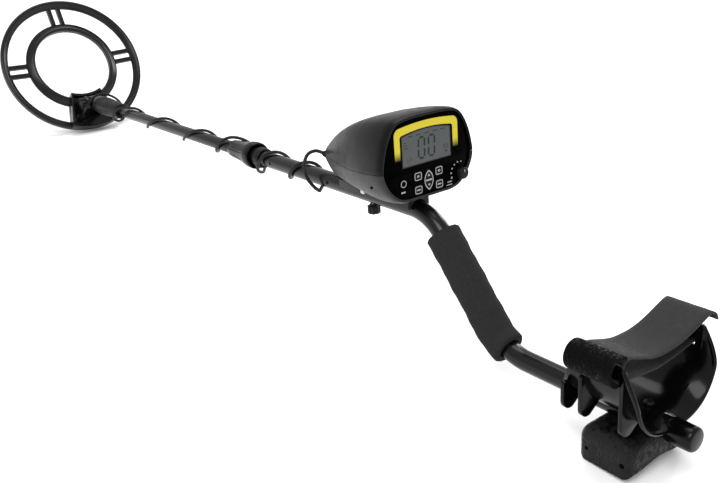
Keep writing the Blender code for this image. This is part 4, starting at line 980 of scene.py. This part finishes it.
def strap_section(half, thick, count=9):
    """A webbing section: flat, with rounded edges."""
    top = [(half - 2 * half * k / count, thick / 2) for k in range(count + 1)]
    bottom = [(-half + 2 * half * k / count, -thick / 2) for k in range(count + 1)]
    points = top + [(-half - 0.35, 0.0)] + bottom + [(half + 0.35, 0.0)]
    return lambda _, share: points


def strap_piece(name, route, half, thick, material):
    """Webbing whose middle follows a route of (x, y, z) points; its width lies along Y."""
    path = smooth_path(route, 6)
    bm = sweep_bm(path, strap_section(half, thick), across=Vector((0, 1, 0)))
    for vert in bm.verts:
        vert.co.z += 0.5 * noise.noise(vert.co * 0.045) + 0.25 * noise.noise(vert.co * 0.13)
    piece = add(name, bm, material, sharp=70)
    return piece


def make_strap():
    band = [(-42.0, -510.0, -64.0), (-43.2, -510.0, -56.0), (-42.6, -510.0, -49.4), (-38.6, -510.0, -45.2),
            (-32.0, -510.5, -45.2), (-22.0, -511.5, -48.2), (-10.0, -513.0, -51.4), (4.0, -515.0, -51.0),
            (18.0, -517.5, -47.0), (30.0, -519.5, -41.2), (39.0, -521.0, -35.8), (45.0, -522.0, -32.4),
            (49.6, -522.5, -31.8), (52.8, -523.0, -34.2), (54.4, -523.5, -38.6)]
    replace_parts(strap_piece("strap_top_layer", band, 20.5, 1.6, WEB), "arm_strap")
    under = [(50.4, -516.5, -44.0), (51.2, -516.5, -51.0), (50.6, -516.0, -56.6), (48.0, -515.8, -59.6),
             (43.0, -515.8, -60.2), (34.0, -515.8, -61.2), (20.0, -515.8, -63.2), (4.0, -515.8, -64.8),
             (-14.0, -515.8, -64.0), (-30.0, -515.8, -61.4), (-43.0, -515.8, -59.8), (-50.0, -515.8, -59.8)]
    strap_piece("strap_under_layer", under, 14.8, 1.6, WEB)
    roll = [(x, -511.0, z) for x, z in arc((-48.6, -49.6), 11.0, 48, 262, 16)]
    strap_piece("strap_loop_side", roll, 21.0, 3.0, FUZZ)


# Stem fitting and coil

COIL_R, GAP_OUT_R, GAP_IN_R, HOLE_R = 122.3, 109.7, 79.8, 64.8
DEPTH = 10.4
SPOKE_PITCH, SPOKE_HALF = 16.5, 3.8
SIDE_SPOKE_DEG = 88.0           # from the front


def make_fitting():
    profile = [(8.6, 495.0), (11.6, 495.0), (12.2, 495.6), (12.5, 497.0), (12.9, 503.0), (14.4, 535.0),
               (15.4, 560.0), (15.4, 575.0), (14.6, 588.0), (12.6, 597.0), (10.0, 602.5), (6.0, 604.0),
               (0.0, 604.0), (0.0, 548.0), (8.6, 548.0)]
    fitting = add("fitting_skin", turned_bm(profile), MOULDED, body="stem", replaces=["stem_fitting"])
    outline = arc((PIVOT_Y, 0), 11.0, -90, 90, 24) + [(560.0, 11.0), (560.0, -11.0)]
    carve(fitting, [flat_bm([outline], -7.6, 7.6, "YZ")], "UNION")
    cheeks = [box_bm((x - 9.2, 592, -20), (x + 9.2, 650, 20)) for x in (-17, 17)]
    carve(fitting, [rod_bm(3.35, (-20, PIVOT_Y, 0), (20, PIVOT_Y, 0), 32)] + cheeks)
    soften(fitting, 0.7, 3, 40)


def ring_profile(tall_r, low_r):
    """A hollow ring, open below: a rounded tall wall, a crown and a slope down to the gap's edge."""
    side = 1 if low_r > tall_r else -1
    width = abs(low_r - tall_r)
    shape = [(0.0, -3.2), (0.25, -2.0), (0.9, -1.0), (1.9, -0.35), (3.2, 0.0), (4.6, -0.25), (6.0, -1.1),
             (width - 3.0, -4.2), (width - 1.4, -5.6), (width - 0.4, -6.9), (width, -8.2), (width, -DEPTH),
             (width - 2.4, -DEPTH), (width - 2.4, -7.6), (4.3, -3.2), (2.4, -4.4), (2.4, -DEPTH),
             (0.0, -DEPTH)]
    return [(tall_r + side * offset, height) for offset, height in shape]


def sector(inner_r, inner_deg, outer_r, outer_deg, count=24):
    """A slice of a ring about the coil's rear, each arc with its own half angle."""
    return (arc((0, 0), outer_r, -90 - outer_deg, -90 + outer_deg, count)
            + arc((0, 0), inner_r, -90 + inner_deg, -90 - inner_deg, count))


def spoke_strips(overlap, low, high, rounding=0.0):
    """Two strips across the gap in each of three directions, their upper edges rounded."""
    strips = []
    for turn in (0, SIDE_SPOKE_DEG, -SIDE_SPOKE_DEG):
        for middle in (-SPOKE_PITCH / 2, SPOKE_PITCH / 2):
            strip = box_bm((middle - SPOKE_HALF, GAP_IN_R - overlap, low),
                           (middle + SPOKE_HALF, GAP_OUT_R + overlap, high))
            if rounding:
                edges = [e for e in strip.edges if all(v.co.z > high - 0.6 for v in e.verts) and
                         abs(e.verts[0].co.x - e.verts[1].co.x) < 0.01]
                bmesh.ops.bevel(strip, geom=edges, offset=rounding, segments=5, affect="EDGES", profile=0.5)
            strips.append(moved(strip, Matrix.Rotation(radians(turn), 4, "Z")))
    return strips


def web_block():
    """The hollow web at the coil's rear, open above."""
    block = solid(flat_bm([sector(HOLE_R - 2.5, 25.0, COIL_R + 1.2, 19.8)], -2.6, 13.5, "XY"), COIL)
    soften(block, 3.0, 5, 60)
    pocket = sector(HOLE_R + 1.6, 22.3, COIL_R - 2.4, 17.9)
    return carve(block, [flat_bm([pocket], 0.5, 20.0, "XY")], where=COIL)


def coil_ears():
    """Two ears for the pivot bolt, each held by three webs on its outer side."""
    outline = arc((PIVOT_F, PIVOT_N), 11.5, 0, 180, 24) + [(PIVOT_F - 16, -1.0), (PIVOT_F + 14, -1.0)]
    shapes = []
    for low, high in ((-14.4, -9.4), (9.4, 14.4)):
        shapes.append(flat_bm([outline], low, high, "YZ"))
        near, out = (low + 1.0, high + 9.0) if high > 0 else (high - 1.0, low - 9.0)
        web = [(near, -1.0), (out, -1.0), (out, 2.0), (near, 17.0)]
        shapes += [flat_bm([web], foot - 0.9, foot + 0.9) for foot in (PIVOT_F - 9, PIVOT_F, PIVOT_F + 8)]
    return shapes


def make_coil():
    shell = add("coil_skin", turned_bm(ring_profile(COIL_R, GAP_OUT_R), "Z", steps=192), COIL_BLACK, COIL,
                "coil", ["coil_shell"], 45)
    skirt = [sector(80.2, 23.5, 109.3, 20.5), sector(82.5, 22.0, 107.0, 19.2)[::-1]]
    unions = [turned_bm(ring_profile(HOLE_R, GAP_IN_R), "Z", steps=144)]
    unions += spoke_strips(0.8, -DEPTH + 0.15, -5.4, 1.6)
    unions += [flat_bm(skirt, -DEPTH + 0.1, -2.0, "XY"), web_block()]
    carve(shell, unions + coil_ears(), "UNION", COIL)
    carve(shell, [rod_bm(3.3, (-30, PIVOT_F, PIVOT_N), (30, PIVOT_F, PIVOT_N), 32),
                  rod_bm(3.3, (*GLAND, -3), (*GLAND, 6), 32)], where=COIL)
    soften(shell, 0.4, 2, 55)


def make_coil_base():
    """The cover that closes the coil from below."""
    high, low = -DEPTH - 0.35, -DEPTH - 2.55
    rings = []
    for outer, inner in ((COIL_R - 0.3, GAP_OUT_R + 0.3), (GAP_IN_R - 0.3, HOLE_R + 0.3)):
        rings.append([(outer, high), (outer, low + 0.8), (outer - 0.8, low), (inner + 0.8, low),
                      (inner, low + 0.8), (inner, high)])
    base = add("coil_base_skin", turned_bm(rings[0], "Z", steps=144), COIL_BLACK, COIL, "coil",
               ["coil_base"], 40)
    web = [sector(HOLE_R + 1.0, 24.0, COIL_R - 1.5, 19.5)]
    carve(base, [turned_bm(rings[1], "Z", steps=112)] + spoke_strips(1.2, low + 0.1, high - 0.1)
          + [flat_bm(web, low + 0.15, high - 0.15, "XY")], "UNION", COIL)


def make_pivot():
    """The cable's gland on the web, and the bolt through the ears with its washers and hand knob."""
    gland = [(2.2, 8.0), (3.2, 8.0), (3.7, 6.6), (3.5, 6.2), (4.1, 4.6), (3.9, 4.2), (4.6, 2.4), (4.6, 0.85),
             (2.95, 0.85), (2.95, -2.9), (2.2, -2.9)]
    add("cable_gland_skin", turned_bm(gland, "Z", (*GLAND, 0), 32), RUBBER, COIL, "coil",
        ["cable_gland"])
    place = (0, PIVOT_F, PIVOT_N)
    bolt = [(0, 19.4), (4.6, 19.4), (5.6, 18.8), (5.8, 17.8), (5.8, 14.9), (3.0, 14.9), (3.0, -17.0),
            (0, -17.0)]
    add("pivot_bolt_skin", turned_bm(bolt, "X", place, 48), MOULDED, COIL, "coil", ["pivot_bolt"])
    for part, low, high in (("washer_left", -9.1, -7.95), ("washer_right", 7.95, 9.1)):
        ring = [(3.4, high - 0.2), (3.6, high), (8.2, high), (8.5, high - 0.3), (8.5, low + 0.3), (8.2, low),
                (3.6, low), (3.4, low + 0.2)]
        add(f"{part}_skin", turned_bm(ring, "X", place, 48), RUBBER, COIL, "stem", [part])
    outline = lobed((PIVOT_F, PIVOT_N), 7, 9.2, 11.0)
    knob = add("pivot_knob_skin", flat_bm([outline], -23.4, -14.9, "YZ"), MOULDED, COIL, "pivot_knob_body",
               ["pivot_knob"])
    carve(knob, [rod_bm(3.25, (-18.5, PIVOT_F, PIVOT_N), (-10, PIVOT_F, PIVOT_N), 32)], where=COIL)
    soften(knob, 0.9)


# Cable

CABLE_R = 2.0
# Where the cable crosses over and under the stem in turn, from the coil's end back
CROSSINGS = (453.0, 394.0, 327.0, 266.0, 203.0, 160.0, 120.0, 44.0, 11.0, -25.0, -61.0, -88.0)
# How far the cable's middle lies from the stem's axis, as (y, radius): it steps out over the twist lock
CABLE_OFFSETS = ((140.0, 11.05), (122.0, 13.4), (112.0, 14.4), (90.0, 15.6), (74.0, 17.6), (64.0, 20.6),
                 (48.0, 20.6), (36.0, 16.6), (26.0, 12.25))


def winding_radius(y):
    for (high, high_r), (low, low_r) in zip(CABLE_OFFSETS, CABLE_OFFSETS[1:]):
        if high >= y >= low:
            return low_r + (high_r - low_r) * (y - low) / (high - low)
    return CABLE_OFFSETS[0][1] if y > CABLE_OFFSETS[0][0] else CABLE_OFFSETS[-1][1]


def winding(first, last, per_half=16):
    """Points round the stem between two crossings; crossing 0 is on top, and each is half a turn on."""
    points = []
    for i in range(first, last):
        a, b = CROSSINGS[i], CROSSINGS[i + 1]
        for k in range(per_half + (i == last - 1)):
            t = k / per_half
            y = a + (b - a) * t
            angle = pi * (i + t)
            radius = winding_radius(y)
            points.append((radius * sin(angle), y, radius * cos(angle)))
    return points


def stem_point(x, ahead, height):
    """A point of the coil's frame, in the stem's frame."""
    tilt = radians(COIL_DEG)
    ahead, height = ahead - PIVOT_F, height - PIVOT_N
    return (x, PIVOT_Y + ahead * cos(tilt) - height * sin(tilt),
            ahead * sin(tilt) + height * cos(tilt))


def make_cable():
    lower = add("cable_on_stem", tube_bm(winding(0, 6), CABLE_R, 20), CABLE,
                replaces=["cable_lower"], ride=False)
    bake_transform(lower)
    loop = [(-7.0, -93.0, -14.0), (-14.5, -94.0, -7.0), (-19.0, -88.0, 4.0), (-17.0, -82.0, 17.0),
            (-10.0, -80.5, 27.0), (-3.0, -86.0, 30.5), (0.0, -93.5, 29.4), (0.0, -99.0, 29.0)]
    upper = winding(6, 11)[:-3] + smooth_path(loop, 8)
    add("cable_on_tube", tube_bm(upper, CABLE_R, 20), CABLE, replaces=["cable_upper"])
    tail = [(0.0, 453.5, 11.05), (-3.0, 464.0, 11.0), (-10.0, 477.0, 9.5), (-16.0, 490.0, 1.0),
            (-13.5, 501.0, -10.5), (-3.0, 508.0, -17.0), (9.0, 516.0, -15.0), (17.0, 530.0, -5.0),
            (16.5, 548.0, 9.0), (8.0, 566.0, 18.0), (-5.0, 580.0, 19.5), (-16.5, 590.0, 10.0),
            (-24.0, 600.0, -4.0), stem_point(-22.5, -104.0, 16.0), stem_point(*GLAND, 7.6)]
    end = add("cable_to_coil", tube_bm(smooth_path(tail, 8), CABLE_R, 20), CABLE,
              replaces=["cable_tail"], ride=False)
    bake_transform(end)


def finish_inner_parts():
    """Pieces inside the shells keep their CAD shape and get a plain finish."""
    board = finish("board_green", (0.02, 0.14, 0.05), 0.45, mottle=0.2)
    copper = finish("copper_wire", (0.72, 0.32, 0.12), 0.35, metallic=1.0, mottle=0.2)
    battery = finish("battery_sleeve", (0.05, 0.05, 0.07), 0.4, mottle=0.1)
    kinds = ((RUBBER, ("lock_ring", "key_mat", "speaker")),
             (MOULDED, ("battery_holder",)),
             (STEEL, ("volume_pot", "clamp_nut", "stand_nut_front", "stand_nut_rear", "box_screw_left",
                      "box_screw_right")),
             (GLASS_GREY, ("lcd_module",)), (board, ("main_board",)),
             (copper, ("winding_outer", "winding_inner")), (battery, ("battery_left", "battery_right")))
    for material, parts in kinds:
        for part in parts:
            materials = frame["nodes"][part].data.materials
            materials.clear()
            materials.append(material)


make_camera()
make_studio()
make_tubes()
make_twist_lock()
make_box()
make_panel()
make_thumb_screw()
make_cradle()
make_stand()
make_strap()
make_fitting()
make_coil()
make_coil_base()
make_pivot()
make_cable()
finish_inner_parts()
